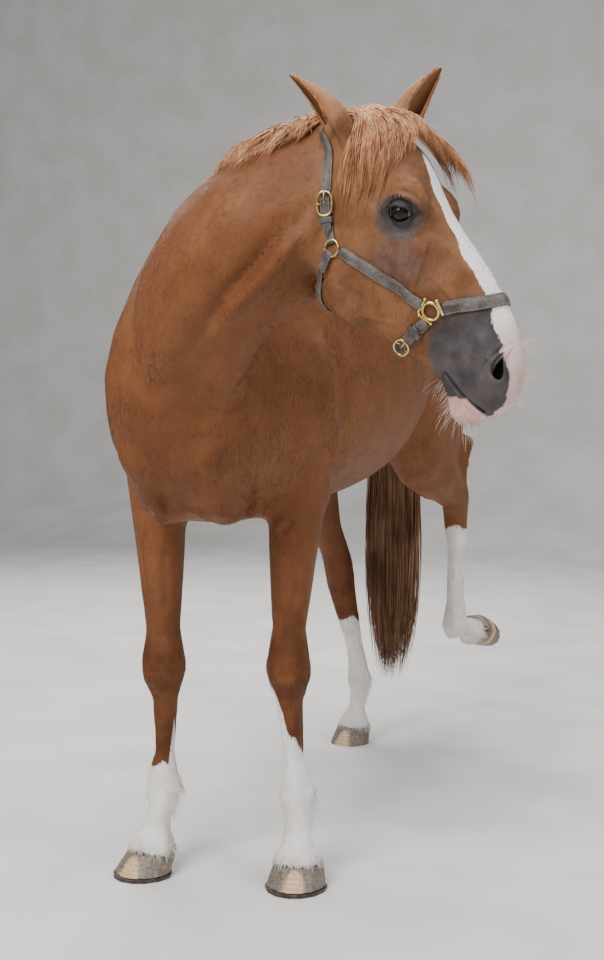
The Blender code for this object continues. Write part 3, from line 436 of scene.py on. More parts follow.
def rgb(red, green, blue):
    """A colour given as 0 to 255 on a screen, in linear light."""
    def linear(v):
        v = v / 255
        return v / 12.92 if v <= 0.04045 else ((v + 0.055) / 1.055) ** 2.4
    return (linear(red), linear(green), linear(blue), 1.0)


def paint(thing, material):
    thing.data.materials.clear()
    thing.data.materials.append(material)


def register(thing, slot, *nodes):
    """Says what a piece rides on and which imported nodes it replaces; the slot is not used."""
    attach(thing, "root")
    if nodes:
        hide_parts(*nodes)


floor_paint, at, shader = new_material("pale_floor", Roughness=0.85)
feed(shader, Base_Color=at.noise(3.0).over(0.35, 0.65).mix(rgb(214, 212, 208), rgb(224, 222, 219)))
paint(floor, floor_paint)
print("floor painted")

# %% [markdown]
# ## One skin
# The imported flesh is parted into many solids. Their copies are joined and melted into one closed surface
# by a voxel remesh, with the eyeballs, so that no pit is left where they sit. The turned neck has a soft
# keel from throat to breast, and a cord runs from the thigh to the lifted hock. Rows of balls melted in
# with the rest give both.

# %% Copies of the flesh
FLESH = ["trunk", "hindquarters", "neck", "head", "muzzle", "tail_dock"]
for end in ("left", "right"):
    FLESH += ["forearm_" + end, "cannon_fore_" + end, "pastern_fore_" + end]
    FLESH += ["gaskin_" + end, "cannon_hind_" + end, "pastern_hind_" + end]


def copy_of(names, title):
    """Copies of CAD nodes joined into one new object, with doubled corners merged."""
    copies = []
    for name in names:
        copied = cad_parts[name].copy()
        copied.data = copied.data.copy()
        copied.parent = None
        for key in list(copied.keys()):
            del copied[key]
        copied.hide_render = False
        copied.hide_viewport = False
        bpy.context.scene.collection.objects.link(copied)
        copies.append(copied)
    made = join(title, *copies)
    made.data.name = title
    return edit_whole(made, (bpy.ops.mesh.remove_doubles, {"threshold": 0.00001}))


skin = copy_of(FLESH + ["eye_left", "eye_right"], "skin")
print(len(FLESH), "solids of flesh copied,", len(skin.data.vertices), "points")

# %% Keel and hock cord, melted in with the rest
#        x, y, z and radius of the keel's main balls
KEEL = np.array([(0.300, -0.345, 1.306, 0.070), (0.232, -0.335, 1.258, 0.070), (0.166, -0.302, 1.204, 0.068),
                 (0.118, -0.266, 1.128, 0.060), (0.080, -0.236, 1.058, 0.048)])
KEEL_BALLS = 17
SKIN_GRAIN = 0.0105
rows = [[np.interp(share, np.arange(len(KEEL)), KEEL[:, k]) for k in range(4)]
        for share in np.linspace(0, len(KEEL) - 1, KEEL_BALLS)]
rows += [(0.262, 1.178 + 0.010 * k, 0.872 + 0.022 * k, 0.027) for k in range(4)]
balls = []
for x, y, z, radius in rows:
    bpy.ops.mesh.primitive_uv_sphere_add(segments=32, ring_count=16, radius=radius,
                                         location=body_point(x, y, z))
    balls.append(settle(bpy.context.object))
join("skin", skin, *balls)
apply_modifier(skin, "REMESH", mode="VOXEL", voxel_size=SKIN_GRAIN)
print("skin:", len(skin.data.vertices), "points")

# %% [markdown]
# ## Smoothing that keeps the volume
# The melted skin still shows the facets of the solids. Plain smoothing would thin the legs, so each round
# shrinks and then grows again by a little more. The head and legs get less of it.


# %% Soften the facets
def soften(mesh, rounds, share=0.5, keep=True, strength=None):
    """Moves each point towards the mean of its neighbours; with keep, growth undoes shrinkage."""
    points = points_of(mesh)
    edges = read(mesh.edges, "vertices", 2, np.int32)
    a, b = edges[:, 0], edges[:, 1]
    count = np.bincount(edges.ravel(), minlength=len(points)).astype(float)
    count[count == 0] = 1
    weight = np.ones(len(points)) if strength is None else strength
    factors = (share, -share * 1.06) if keep else (share,)
    for _ in range(rounds):
        for factor in factors:
            mean = np.empty_like(points)
            for axis in range(3):
                total = np.bincount(a, points[b, axis], len(points))
                total += np.bincount(b, points[a, axis], len(points))
                mean[:, axis] = total / count
            points += (mean - points) * (factor * weight)[:, None]
    set_points(mesh, points)


def region_weights(points):
    """How much each point belongs to the head, and to the thin lower legs."""
    place = head_places(points)
    from_axis = np.hypot(place[:, 1] + 0.12, place[:, 2] * 1.5)
    head = ramp(place[:, 0], -0.06, 0.0) * (1 - ramp(from_axis, 0.19, 0.26)) * ramp(points[:, 0], 0.10, 0.16)
    legs = 1 - ramp(points[:, 2], 0.62, 0.80)
    return head, legs


head_share, leg_share = region_weights(points_of(skin.data))
soften(skin.data, 30, strength=np.clip(1 - 0.75 * head_share - 0.6 * leg_share, 0.1, 1))
soften(skin.data, 8)
print("skin smoothed")

# %% [markdown]
# ## Finer skin where the forms are small
# A face needs folds a few millimetres wide, while the barrel can stay coarse. Faces of the head and lower
# legs are picked by place and divided. The skin is then drawn in by the depth of the coat.


# %% Divide picked faces
def divide(thing, chosen, cuts):
    select_only(thing)
    bpy.ops.object.mode_set(mode="EDIT")
    bpy.ops.mesh.select_mode(type="FACE")
    bpy.ops.mesh.select_all(action="DESELECT")
    bpy.ops.object.mode_set(mode="OBJECT")
    thing.data.polygons.foreach_set("select", chosen)
    bpy.ops.object.mode_set(mode="EDIT")
    bpy.ops.mesh.subdivide(number_cuts=cuts, smoothness=0.0, quadcorner="INNERVERT")
    bpy.ops.object.mode_set(mode="OBJECT")


COAT_DEPTH = 0.0015
for region, cuts in ((0, 2), (1, 1)):
    divide(skin, region_weights(face_middles(skin.data))[region] > 0.5, cuts)
head_share, leg_share = region_weights(points_of(skin.data))
soften(skin.data, 6, strength=np.clip(head_share + leg_share, 0, 1))
set_points(skin.data, points_of(skin.data) - normals_of(skin.data) * COAT_DEPTH)
print("skin:", len(skin.data.vertices), "points,", len(skin.data.polygons), "faces")

# %% [markdown]
# ## Ears
# A horse's ear is a leaf rolled into a cup: a tube at the root, widest a quarter of the way up, with
# a curled point. Cut from a cone its edge would be thick. So it is lofted through horseshoe rings with an
# outer and an inner wall, and the inner one starts above the root.


# %% Loft
def loft(rings, title):
    """A closed form through rings of equal counts, capped at both ends."""
    count = len(rings[0])
    points = [point for ring in rings for point in ring]
    faces = [tuple(reversed(range(count))), tuple(range(len(points) - count, len(points)))]
    for r in range(len(rings) - 1):
        for k in range(count):
            a, b = r * count + k, r * count + (k + 1) % count
            faces.append((a, b, b + count, a + count))
    made = mesh_object(title, points, faces)
    return edit_whole(made, (bpy.ops.mesh.normals_make_consistent, {"inside": False}))


def curve_through(rows, steps):
    """More rows between the given rows, on one smooth curve."""
    rows = [np.array(row, float) for row in rows]
    padded = [rows[0] * 2 - rows[1]] + rows + [rows[-1] * 2 - rows[-2]]
    made = []
    for i in range(1, len(padded) - 2):
        p0, p1, p2, p3 = padded[i - 1:i + 3]
        for s in range(steps):
            t = s / steps
            made.append(0.5 * (2 * p1 + (p2 - p0) * t + (2 * p0 - 5 * p1 + 4 * p2 - p3) * t * t
                               + (3 * p1 - p0 - 3 * p2 + p3) * t ** 3))
    made.append(rows[-1])
    return made


print("a line of 3 places becomes", len(curve_through([(0, 0), (1, 0), (1, 1)], 4)), "places")

# %% Ear forms
#           share  width  depth  curl  lean   inner wall
EAR_ROWS = [(-0.22, 0.95, 0.90, 3.00, 0.00, 0.02),
            (-0.02, 0.90, 0.84, 2.90, 0.00, 0.05),
            (0.10, 0.96, 0.86, 2.70, 0.00, 0.45),
            (0.22, 1.02, 0.86, 2.40, -0.02, 0.80),
            (0.38, 1.00, 0.80, 2.15, -0.04, 0.86),
            (0.56, 0.86, 0.66, 1.98, -0.04, 0.87),
            (0.74, 0.62, 0.44, 1.85, -0.01, 0.85),
            (0.88, 0.38, 0.25, 1.75, 0.03, 0.80),
            (0.97, 0.17, 0.12, 1.70, 0.06, 0.70),
            (1.00, 0.06, 0.04, 1.70, 0.07, 0.60)]
EAR_RIM_STEPS = 11
#        root and tip on the head, where the cup opens to, and its width
EARS = {
    "right": (head_point(0.036, -0.100, -0.066), head_point(-0.096, -0.128, -0.105),
              (-0.90, -0.46, 0), 0.068),
    "left": (head_point(0.040, -0.055, 0.074), head_point(-0.045, 0.062, 0.120),
             (0.90, -0.35, 0), 0.070)}


def ear(title, root, tip, facing, width):
    """A cup that stands on its root and opens to one side."""
    along = (tip - root).normalized()
    facing = flattened(Vector(facing), along)
    side = along.cross(facing)
    rings = []
    for share, wide, deep, curl, lean, inside in curve_through(EAR_ROWS, 3):
        middle = root + (tip - root) * share + facing * (lean * width)
        outer, inner = [], []
        for k in range(-EAR_RIM_STEPS, EAR_RIM_STEPS + 1):
            angle = curl * k / EAR_RIM_STEPS
            way = side * (math.sin(angle) * width * wide / 2)
            way = way - facing * (math.cos(angle) * width * deep / 2)
            edge = 1 - 0.35 * abs(k / EAR_RIM_STEPS) ** 6
            outer.append(middle + way * edge)
            inner.append(middle + way * inside * edge)
        rings.append(outer + inner[::-1])
    return loft(rings, title)


ear_forms = [ear("ear_form_" + name, *values) for name, values in EARS.items()]
print("ears:", [len(form.data.vertices) for form in ear_forms], "points")

# %% [markdown]
# ## Ears and skin as one
# A Boolean unites each closed ear with the skin, so that both are one surface. The join would show as a
# sharp line, so the skin round it and at the temple is softened.

# %% Unite the ears with the skin
#            down, front and left of the middle of each root
EAR_ROOTS = ((0.040, -0.100, -0.062), (0.044, -0.058, 0.070))
TEMPLE = (0.068, -0.083, 0.078)
for form in ear_forms:
    apply_modifier(skin, "BOOLEAN", operation="UNION", solver="EXACT", object=form)
    bpy.data.objects.remove(form)


def soften_round(places, spots, rounds, inner, outer):
    """Softens the skin near spots, fully within the inner distance and not at all past the outer."""
    away = np.min([np.linalg.norm(places - np.array(spot), axis=1) for spot in spots], axis=0)
    soften(skin.data, rounds, keep=False, strength=1 - ramp(away, inner, outer))


soften_round(head_places(points_of(skin.data)), EAR_ROOTS, 14, 0.030, 0.048)
for hand in SIDES:
    spot = head_point(TEMPLE[0], TEMPLE[1], hand * TEMPLE[2])
    soften_round(points_of(skin.data), [spot], 26, 0.016, 0.034)
print("skin with ears:", len(skin.data.vertices), "points,", len(skin.data.polygons), "faces")

# %% [markdown]
# ## Sculpting tools
# Muscles, veins, folds and creases are all strokes: a line on the skin, raised or sunk, strongest on the
# line and fading beside it, as a sculptor's brush works. Strokes are given by places of the head or body,
# so they read as anatomy. A swelling is a stroke with a single place.


# %% Find places on the skin
def surface_tree(thing):
    """A quick finder for the nearest place on a mesh."""
    mesh = thing.data
    return BVHTree.FromPolygons([v.co for v in mesh.vertices], [p.vertices[:] for p in mesh.polygons])


def side_spot(down, front, hand):
    """The place on one side of the face, seen square from that side."""
    spot = tree.ray_cast(head_point(down, front, hand * 0.30), HEAD_LEFT * -hand)[0]
    if spot is None:
        spot = tree.find_nearest(head_point(down, front, hand * 0.03))[0]
    return np.array(spot)


def nearest_spot(place):
    """The place on the skin that is nearest to a given place."""
    return np.array(tree.find_nearest(Vector(place))[0])


tree = surface_tree(skin)
print("the nose tip is at", np.round(nearest_spot(head_point(0.60, -0.04)), 3))


# %% Strokes and mounds
def line_distance(points, spots, step=0.003):
    """Distance from points to a smooth line through spots, and the share along it."""
    line = np.array(curve_through(spots, 6)) if len(spots) > 2 else np.array(spots)
    lengths = lengths_along(line)
    count = max(int(lengths[-1] / step), 4)
    shares = np.linspace(0, 1, count)
    line = columns_at(shares * lengths[-1], lengths, line)
    best = np.full(len(points), 9.0)
    where = np.zeros(len(points))
    reach = line.min(axis=0) - 0.08, line.max(axis=0) + 0.08
    close = np.all((points > reach[0]) & (points < reach[1]), axis=1)
    for i, spot in enumerate(line):
        away = np.linalg.norm(points[close] - spot, axis=1)
        nearer = away < best[close]
        index = np.flatnonzero(close)[nearer]
        best[index] = away[nearer]
        where[index] = shares[i]
    return best, where


def stroke(spots, height, width, ends=0.25):
    """Raises (or sinks, below zero) a soft ridge along a line on the skin."""
    away, where = line_distance(points, spots)
    fade = ramp(where, -0.001, ends) * (1 - ramp(where, 1 - ends, 1.001)) if ends else 1.0
    points[:] += normals * (height * bell(away, 0, width) * fade)[:, None]


def mound(spot, height, radius):
    away = np.linalg.norm(points - np.array(spot), axis=1)
    points[:] += normals * (height * bell(away, 0, radius))[:, None]


def sculpt(rows, locate):
    """Works through rows of places, height and width, and where given how much the ends fade."""
    for places, *shape in rows:
        spots = [locate(*place) for place in places]
        if len(spots) == 1:
            mound(spots[0], *shape)
        else:
            stroke(spots, *shape)


print("a ridge fades to", round(float(bell(2.0, 0, 1.0)), 2), "at twice its width")

# %% [markdown]
# ## The face
# Under the thin skin of the face lie the bony rim of the eye, the straight facial crest, the round cheek
# and the branching veins. Both sides are alike, so one table of places, down the face and in front of its
# line, is stroked on each side in turn.

# %% Bones, muscles and veins of the face
FACE_ROWS = (
    # facial crest, the hollow below it, the brow bone and the pit above the eye
    (((0.262, -0.110), (0.300, -0.104), (0.345, -0.100), (0.372, -0.098)), 0.0035, 0.011),
    (((0.300, -0.125), (0.335, -0.130), (0.372, -0.142)), -0.0030, 0.014),
    (((0.170, -0.120), (0.195, -0.100), (0.215, -0.096), (0.240, -0.090)), 0.0030, 0.012),
    (((0.150, -0.098), (0.168, -0.080)), -0.0055, 0.018, 0),
    # side of the nose: a hollow, the nasal bone, and the muscles that lift the lip
    (((0.290, -0.052), (0.330, -0.060), (0.372, -0.066)), -0.0028, 0.014),
    (((0.280, -0.022), (0.340, -0.014), (0.400, -0.006), (0.450, -0.004)), 0.0026, 0.009),
    (((0.420, -0.050), (0.460, -0.040), (0.500, -0.026)), 0.0024, 0.012),
    (((0.425, -0.085), (0.465, -0.085), (0.500, -0.095)), -0.0022, 0.014),
    # the facial vein and its branches
    (((0.258, -0.030), (0.290, -0.044), (0.322, -0.070), (0.352, -0.100), (0.378, -0.124), (0.392, -0.150)),
     0.0024, 0.0038),
    (((0.322, -0.070), (0.350, -0.058), (0.382, -0.050), (0.410, -0.040)), 0.0018, 0.0032),
    (((0.352, -0.100), (0.372, -0.088), (0.398, -0.084), (0.430, -0.078)), 0.0016, 0.0030),
    (((0.262, -0.080), (0.300, -0.088), (0.330, -0.084)), 0.0012, 0.0030),
    (((0.392, -0.150), (0.360, -0.190), (0.330, -0.225)), 0.0014, 0.0045),
    # rear edge of the jaw, the groove behind it, and the round cheek
    (((0.130, -0.205), (0.180, -0.232), (0.230, -0.262), (0.290, -0.262)), 0.0030, 0.016),
    (((0.110, -0.190), (0.150, -0.238), (0.200, -0.278)), -0.0040, 0.012),
    (((0.262, -0.190),), 0.0035, 0.060))
#            down and front along the lower edge of the jaw, which no view from the side reaches
JAW_EDGE = ((0.205, -0.285), (0.245, -0.300), (0.285, -0.290), (0.325, -0.262), (0.360, -0.230))
points, normals = points_of(skin.data), normals_of(skin.data)
for hand in SIDES:
    sculpt(FACE_ROWS, lambda down, front: side_spot(down, front, hand))
    stroke([nearest_spot(head_point(down, front, hand * 0.040)) for down, front in JAW_EDGE], 0.014, 0.038)
set_points(skin.data, points)
tree = surface_tree(skin)
print(len(FACE_ROWS) + 1, "forms on each side of the face")

# %% [markdown]
# ## Finer skin at the eyes, nostrils and lips
# Lids and lips turn over edges of two or three millimetres. Only the faces near them are divided once
# more, because a whole head this fine would hold too many triangles.

# %% Finer skin
#        down and front along the slit of the mouth, ending at the middle of the lips
MOUTH = ((0.500, -0.119), (0.530, -0.112), (0.555, -0.104), (0.575, -0.096), (0.588, -0.088))
NOSTRIL = (0.537, -0.0265)
mouth_front = nearest_spot(head_point(0.606, -0.080, 0.0))
middles = face_middles(skin.data)
fine = np.zeros(len(middles), bool)
mouth_lines, nostril_spots = {}, {}
for hand, name in SIDES.items():
    nostril_spots[hand] = side_spot(*NOSTRIL, hand)
    mouth_lines[hand] = [side_spot(down, front, hand) for down, front in MOUTH] + [mouth_front]
    for spot, radius in ((node_middle("eye_" + name), 0.043), (nostril_spots[hand], 0.031)):
        fine |= np.linalg.norm(middles - np.array(spot), axis=1) < radius
    fine |= line_distance(middles, mouth_lines[hand])[0] < 0.010
divide(skin, fine, 2)
print("skin:", len(skin.data.vertices), "points,", len(skin.data.polygons), "faces")

# %% [markdown]
# ## Lids
# Lids lie on the eyeball like a hood with an almond-shaped opening. Skin near the eye is put in the eye's
# own frame. Outside the opening it is drawn down to a slightly larger ball, with creases, and inside it
# drops behind the eyeball. Points close to the edge move exactly onto it, for a crisp rim.

# %% Frames of the eyes
LID_OUT, LID_IN, LID_UP, LID_LOW = 0.0190, 0.0215, 0.0140, 0.0138


def mean_normal(centre, reach):
    return Vector(normals[np.linalg.norm(points - centre, axis=1) < reach].mean(axis=0)).normalized()


def eye_axes(centre):
    """Directions along the lids' opening, across it, and out of the head."""
    outward = mean_normal(centre, 0.034)
    long = flattened(HEAD_DOWN * 0.60 + HEAD_FRONT * 0.80, outward)
    rise = HEAD_FRONT * 0.6 - HEAD_DOWN * 0.8
    rise = (rise - outward * rise.dot(outward) - long * rise.dot(long)).normalized()
    return np.array([long, rise, outward])


def almond(u, v, half_long, half_high):
    """1 on the edge of an almond shape, less inside it and more outside."""
    return ((np.abs(u) / half_long) ** 1.8 + (np.abs(v) / half_high) ** 1.8) ** (1 / 1.8)


points, normals = points_of(skin.data), normals_of(skin.data)
eye_frames = {}
for hand, name in SIDES.items():
    centre = np.array(node_middle("eye_" + name))
    eye_frames[hand] = (centre, eye_axes(centre))
    print("eye", name, "looks along", np.round(eye_frames[hand][1][2], 2))


# %% Lids
def snapped_to_rim(rho):
    """Moves what lies close to the edge of the opening onto the edge."""
    snapped = 1 + np.sign(rho - 1) * np.maximum(np.abs(rho - 1) - 0.055, 0)
    return rho + (snapped - rho) * (1 - ramp(np.abs(rho - 1), 0.10, 0.60))


def lid_surface(u, v, w, away):
    """How far out the lids lie, at a distance away from the edge of the opening."""
    upper = ramp(v, -0.004, 0.006)
    lower = 1 - upper
    lid_radius = EYE_RADIUS + 0.0032
    lid = np.sqrt(np.maximum(lid_radius ** 2 - u ** 2 - v ** 2, 0.004 ** 2))
    # the thick rim, the fold of the upper lid with its roll, and the small fold of the lower lid
    lid += 0.0014 * bell(away, 0.0016, 0.0016)
    lid -= 0.0030 * upper * np.exp(-((away - 0.0078 - 0.0020 * ramp(u, -0.01, 0.01)) / 0.0019) ** 2)
    lid += 0.0022 * upper * bell(away, 0.0120, 0.0030)
    lid -= 0.0012 * lower * bell(away, 0.0062, 0.0016)
    # farther out the lids pass into the face, over the brow and the wrinkles round the eye
    outside = lid + (w - lid) * ramp(away, 0.0050, 0.0165 + 0.004 * upper)
    outside += (0.0020 * upper - 0.0016 * lower) * bell(away, 0.0190, 0.0038)
    outside -= 0.0022 * upper * bell(away, 0.0250, 0.0030) * ramp(u, -0.004, 0.012)
    outside -= 0.0014 * lower * bell(away, 0.0140, 0.0024)
    return outside


for centre, axes in eye_frames.values():
    close = np.linalg.norm(points - centre, axis=1) < 0.062
    u, v, w = ((points[close] - centre) @ axes.T).T
    rho = almond(u, v, np.where(u > 0, LID_IN, LID_OUT), np.where(v > 0, LID_UP, LID_LOW)) + 1e-6
    snapped = snapped_to_rim(rho)
    u, v = u * snapped / rho, v * snapped / rho
    away = np.hypot(u, v) * (1 - 1 / np.maximum(snapped, 0.05))
    behind = np.sqrt(np.maximum(EYE_RADIUS ** 2 - u ** 2 - v ** 2, 0)) - 0.0045
    w = np.where(snapped < 1.0 - 1e-4, behind, lid_surface(u, v, w, away))
    points[close] = centre + np.stack([u, v, w], 1) @ axes
    mound(centre + np.array([0.0225, -0.0045, 0.0120]) @ axes, -0.0045, 0.0042)
set_points(skin.data, points)
print("lids shaped, opening", round(1000 * (LID_OUT + LID_IN), 1), "mm long")

# %% [markdown]
# ## Nostrils
# A nostril is a comma, wide below and narrow above, with a soft rim and a fold above it. Skin inside the
# comma sinks and its edge rises, because a Boolean hole would have a hard edge.

# %% Nostrils
NOSTRIL_HALF_LONG, NOSTRIL_DEPTH = 0.0235, 0.0230
points, normals = points_of(skin.data), normals_of(skin.data)
nostril_frames = {}
for hand, centre in nostril_spots.items():
    close = np.linalg.norm(points - centre, axis=1) < 0.055
    outward = mean_normal(centre, 0.020)
    long = flattened(HEAD_DOWN * 0.86 - HEAD_FRONT * 0.50, outward)
    ahead = outward.cross(long).normalized()
    ahead = ahead if ahead.dot(HEAD_FRONT) > 0 else -ahead
    axes = np.array([long, ahead, outward])
    nostril_frames[hand] = (centre, axes)
    local = (points[close] - centre) @ axes.T
    u, v = local[:, 0], local[:, 1]
    bend = v - 0.0035 * (u / 0.02) ** 2 * np.where(u < 0, 1.6, 0.4)
    half_wide = np.where(bend > 0, 0.0104, 0.0122) * (1 + 0.35 * np.clip(u / NOSTRIL_HALF_LONG, -1, 1))
    rho = np.sqrt((u / NOSTRIL_HALF_LONG) ** 2 + (bend / half_wide) ** 2)
    sink = -NOSTRIL_DEPTH * (1 - ramp(rho, 0.52, 1.0))
    rim = 0.0034 * bell(rho, 1.22, 0.24) * np.where(bend < 0, 1.0, 0.8)
    groove = -0.0014 * bell(rho, 1.95, 0.30)
    shift = np.outer(sink, (-0.50, -0.10, 1.0)) + np.outer(rim + groove, (0, 0, 1.0))
    points[close] = centre + (local + shift) @ axes
set_points(skin.data, points)
print("nostrils sunk", round(NOSTRIL_DEPTH * 1000), "mm")

# %% Folds round the nostrils
#               the fold above each nostril, the roll behind that fold, and the swelling below it
NOSTRIL_ROWS = ((((0.520, -0.018), (0.513, -0.010), (0.516, -0.003)), -0.0038, 0.0026, 0.4),
                (((0.508, -0.020), (0.504, -0.008), (0.508, 0.002)), 0.0020, 0.0045, 0.4),
                (((0.560, -0.052),), 0.0030, 0.020))
points, normals = points_of(skin.data), normals_of(skin.data)
tree = surface_tree(skin)
for hand in SIDES:
    sculpt(NOSTRIL_ROWS, lambda down, front: side_spot(down, front, hand))
set_points(skin.data, points)
print(len(NOSTRIL_ROWS), "folds round each nostril")

# %% [markdown]
# ## Mouth and chin
# The closed mouth is a deep narrow slit between two lip swellings, and goes on past its corner as a soft
# crease. The chin is a round pad under the front of the lower lip.

# %% Mouth and chin
#             the crease at the corner, the hollow above the upper lip, and the lower lip's roll
MOUTH_ROWS = ((((0.488, -0.112), (0.494, -0.128), (0.505, -0.138)), -0.0016, 0.0035),
              (((0.506, -0.098), (0.535, -0.090), (0.560, -0.080)), -0.0016, 0.0050),
              (((0.505, -0.131), (0.530, -0.131), (0.550, -0.131)), 0.0026, 0.008))
#             in the middle: chin pad, its underside, the hollow behind it, and the upper lip
CHIN_ROWS = ((((0.590, -0.128),), 0.0080, 0.026), (((0.560, -0.150),), 0.0040, 0.024),
             (((0.520, -0.158),), -0.0045, 0.016), (((0.600, -0.045),), 0.0030, 0.026))
SLIT_DEPTH, SLIT_WIDTH = 0.0078, 0.0022
points, normals = points_of(skin.data), normals_of(skin.data)
for hand in SIDES:
    away, where = line_distance(points, mouth_lines[hand], 0.0015)
    lips = 0.0030 * bell(away, 0.0065, 0.0042)
    # both sides reach the middle of the lips, so each counts for half there
    share = ramp(where, -0.02, 0.10), 0.5 + 0.5 * (where < 0.97)
    points += normals * ((lips - SLIT_DEPTH * bell(away, 0, SLIT_WIDTH)) * share[0] * share[1])[:, None]
    sculpt(MOUTH_ROWS, lambda down, front: side_spot(down, front, hand))
sculpt(CHIN_ROWS, lambda down, front: nearest_spot(head_point(down, front)))
set_points(skin.data, points)
print("face shaped")

# %% [markdown]
# ## The body
# The short coat hides little. Long muscles run down the turned neck with the groove of the jugular vein
# between them, two round muscles part the chest, and the shoulder stands out from the barrel. Each is a
# wide, low stroke, and folds at the arm are narrow ones. Places are metres to the horse's left, back and
# up from the point between its fore feet.


# %% Neck and chest
def body_spot(x, y, z):
    return nearest_spot(body_point(x, y, z))


NECK_ROWS = (
    # the muscle under the throat, the groove of the jugular vein and the long muscle behind it
    (((0.371, -0.428, 1.371), (0.334, -0.431, 1.332), (0.280, -0.433, 1.275), (0.224, -0.426, 1.228),
      (0.175, -0.406, 1.185)), 0.019, 0.021),
    (((0.353, -0.431, 1.402), (0.300, -0.443, 1.332), (0.228, -0.436, 1.254), (0.159, -0.417, 1.194),
      (0.092, -0.361, 1.122), (0.066, -0.320, 1.070)), -0.022, 0.022),
    (((0.297, -0.412, 1.470), (0.252, -0.421, 1.436), (0.187, -0.433, 1.356), (0.108, -0.416, 1.269),
      (0.049, -0.374, 1.142), (0.040, -0.318, 1.060)), 0.013, 0.040),
    (((0.235, -0.350, 1.190), (0.170, -0.345, 1.141), (0.112, -0.300, 1.062)), 0.006, 0.022),
    # where the neck meets the breast, and the pit there
    (((0.092, -0.287, 1.028), (0.130, -0.250, 1.035), (0.163, -0.210, 1.066)), -0.008, 0.014),
    (((0.096, -0.287, 1.026),), -0.012, 0.024),
    # the two round muscles of the breast, the point of the shoulder, and the line that parts them
    (((-0.010, -0.271, 0.945),), 0.013, 0.075),
    (((0.130, -0.209, 0.940),), 0.014, 0.070),
    (((-0.060, -0.300, 1.042),), 0.008, 0.050),
    (((0.078, -0.288, 1.007), (0.070, -0.273, 0.917), (0.060, -0.180, 0.820)), -0.010, 0.017),
    (((0.205, -0.120, 1.080), (0.213, -0.069, 1.005), (0.188, -0.081, 0.932), (0.160, -0.100, 0.880)),
     -0.010, 0.020))
tree = surface_tree(skin)
points, normals = points_of(skin.data), normals_of(skin.data)
sculpt(NECK_ROWS, body_spot)
print(len(NECK_ROWS), "forms of neck and chest")

# %% Shoulders and elbows, alike on both sides
# the ridge of the shoulder blade, the hollow behind it, and the point of the elbow
SHOULDER_ROWS = (
    (((0.232, -0.010, 1.250), (0.240, 0.000, 1.174), (0.252, 0.010, 1.058), (0.236, 0.075, 0.940),
      (0.222, 0.092, 0.860)), 0.014, 0.026),
    (((0.258, 0.085, 1.200), (0.266, 0.095, 1.100), (0.255, 0.130, 0.990), (0.225, 0.170, 0.880)),
     -0.014, 0.030),
    (((0.225, 0.120, 0.850),), 0.008, 0.030))
for hand in SIDES:
    sculpt(SHOULDER_ROWS, lambda x, y, z: body_spot(hand * x, y, z))
print(len(SHOULDER_ROWS), "forms of each shoulder")

# %% Folds and muscles of the arms
#            where the skin folds between breast and arm, with a roll of skin above each fold
ARM_FOLDS = (((0.135, -0.150, 0.888), (0.128, -0.100, 0.855), (0.112, -0.050, 0.800)),
             ((-0.030, -0.240, 0.875), (-0.036, -0.190, 0.835), (-0.040, -0.130, 0.800)),
             ((-0.062, -0.235, 0.850), (-0.085, -0.150, 0.815), (-0.105, -0.070, 0.790)),
             ((0.185, -0.010, 0.800), (0.160, -0.020, 0.775), (0.135, -0.015, 0.760)))
ROLL_ASIDE, ROLL_UP = 0.022, 0.006
arm_rows = []
for places in ARM_FOLDS:
    roll = [(x - ROLL_ASIDE * (1 if x > 0 else -1), y, z + ROLL_UP) for x, y, z in places]
    arm_rows += [(places, -0.010, 0.0075), (roll, 0.006, 0.012)]
arm_rows += [
    (((-0.036, -0.268, 0.950), (-0.034, -0.262, 0.915), (-0.040, -0.240, 0.885)), 0.007, 0.013),
    (((-0.152, -0.050, 0.800), (-0.160, -0.044, 0.748), (-0.172, -0.034, 0.680), (-0.150, -0.035, 0.600)),
     -0.007, 0.010),
    (((0.205, -0.010, 0.790), (0.200, -0.005, 0.720), (0.186, 0.005, 0.650), (0.160, 0.008, 0.560)),
     -0.006, 0.010),
    (((0.120, -0.020, 0.740), (0.115, -0.005, 0.660), (0.128, 0.000, 0.580)), -0.005, 0.010),
    (((-0.105, -0.060, 0.740), (-0.100, -0.050, 0.660), (-0.110, -0.040, 0.580)), -0.005, 0.010)]
sculpt(arm_rows, body_spot)
print(len(arm_rows), "folds and muscles of the arms")

# %% Barrel and quarters
RIB_DEPTH, RIB_WIDTH = -0.0022, 0.017
barrel_rows = []
for k in range(6):
    back = 0.22 + 0.085 * k
    barrel_rows.append((((0.28, back, 1.26), (0.30, back + 0.02, 1.12), (0.27, back + 0.05, 0.98)),
                        RIB_DEPTH, RIB_WIDTH))
# hollow of the flank, point of the hip, stifle, two grooves of the thigh, vein under the belly
barrel_rows += [(((0.27, 0.72, 1.20),), -0.012, 0.085),
                (((0.24, 0.90, 1.33),), 0.010, 0.050),
                (((0.27, 0.82, 0.93),), 0.007, 0.055),
                (((0.20, 1.34, 1.24), (0.215, 1.34, 1.08), (0.21, 1.28, 0.94)), -0.009, 0.020),
                (((0.25, 1.02, 1.20), (0.27, 1.05, 1.05), (0.26, 1.02, 0.90)), -0.005, 0.026),
                (((0.26, 0.30, 0.93), (0.26, 0.48, 0.90), (0.24, 0.64, 0.90)), 0.0022, 0.006)]
SPINE_ROW = (((0.0, 0.72, 1.56), (0.0, 1.00, 1.56), (0.0, 1.26, 1.48)), -0.005, 0.022)
for hand in SIDES:
    sculpt(barrel_rows, lambda x, y, z: body_spot(hand * x, y, z))
sculpt([SPINE_ROW], body_spot)
print(len(barrel_rows), "forms on each side of the barrel")

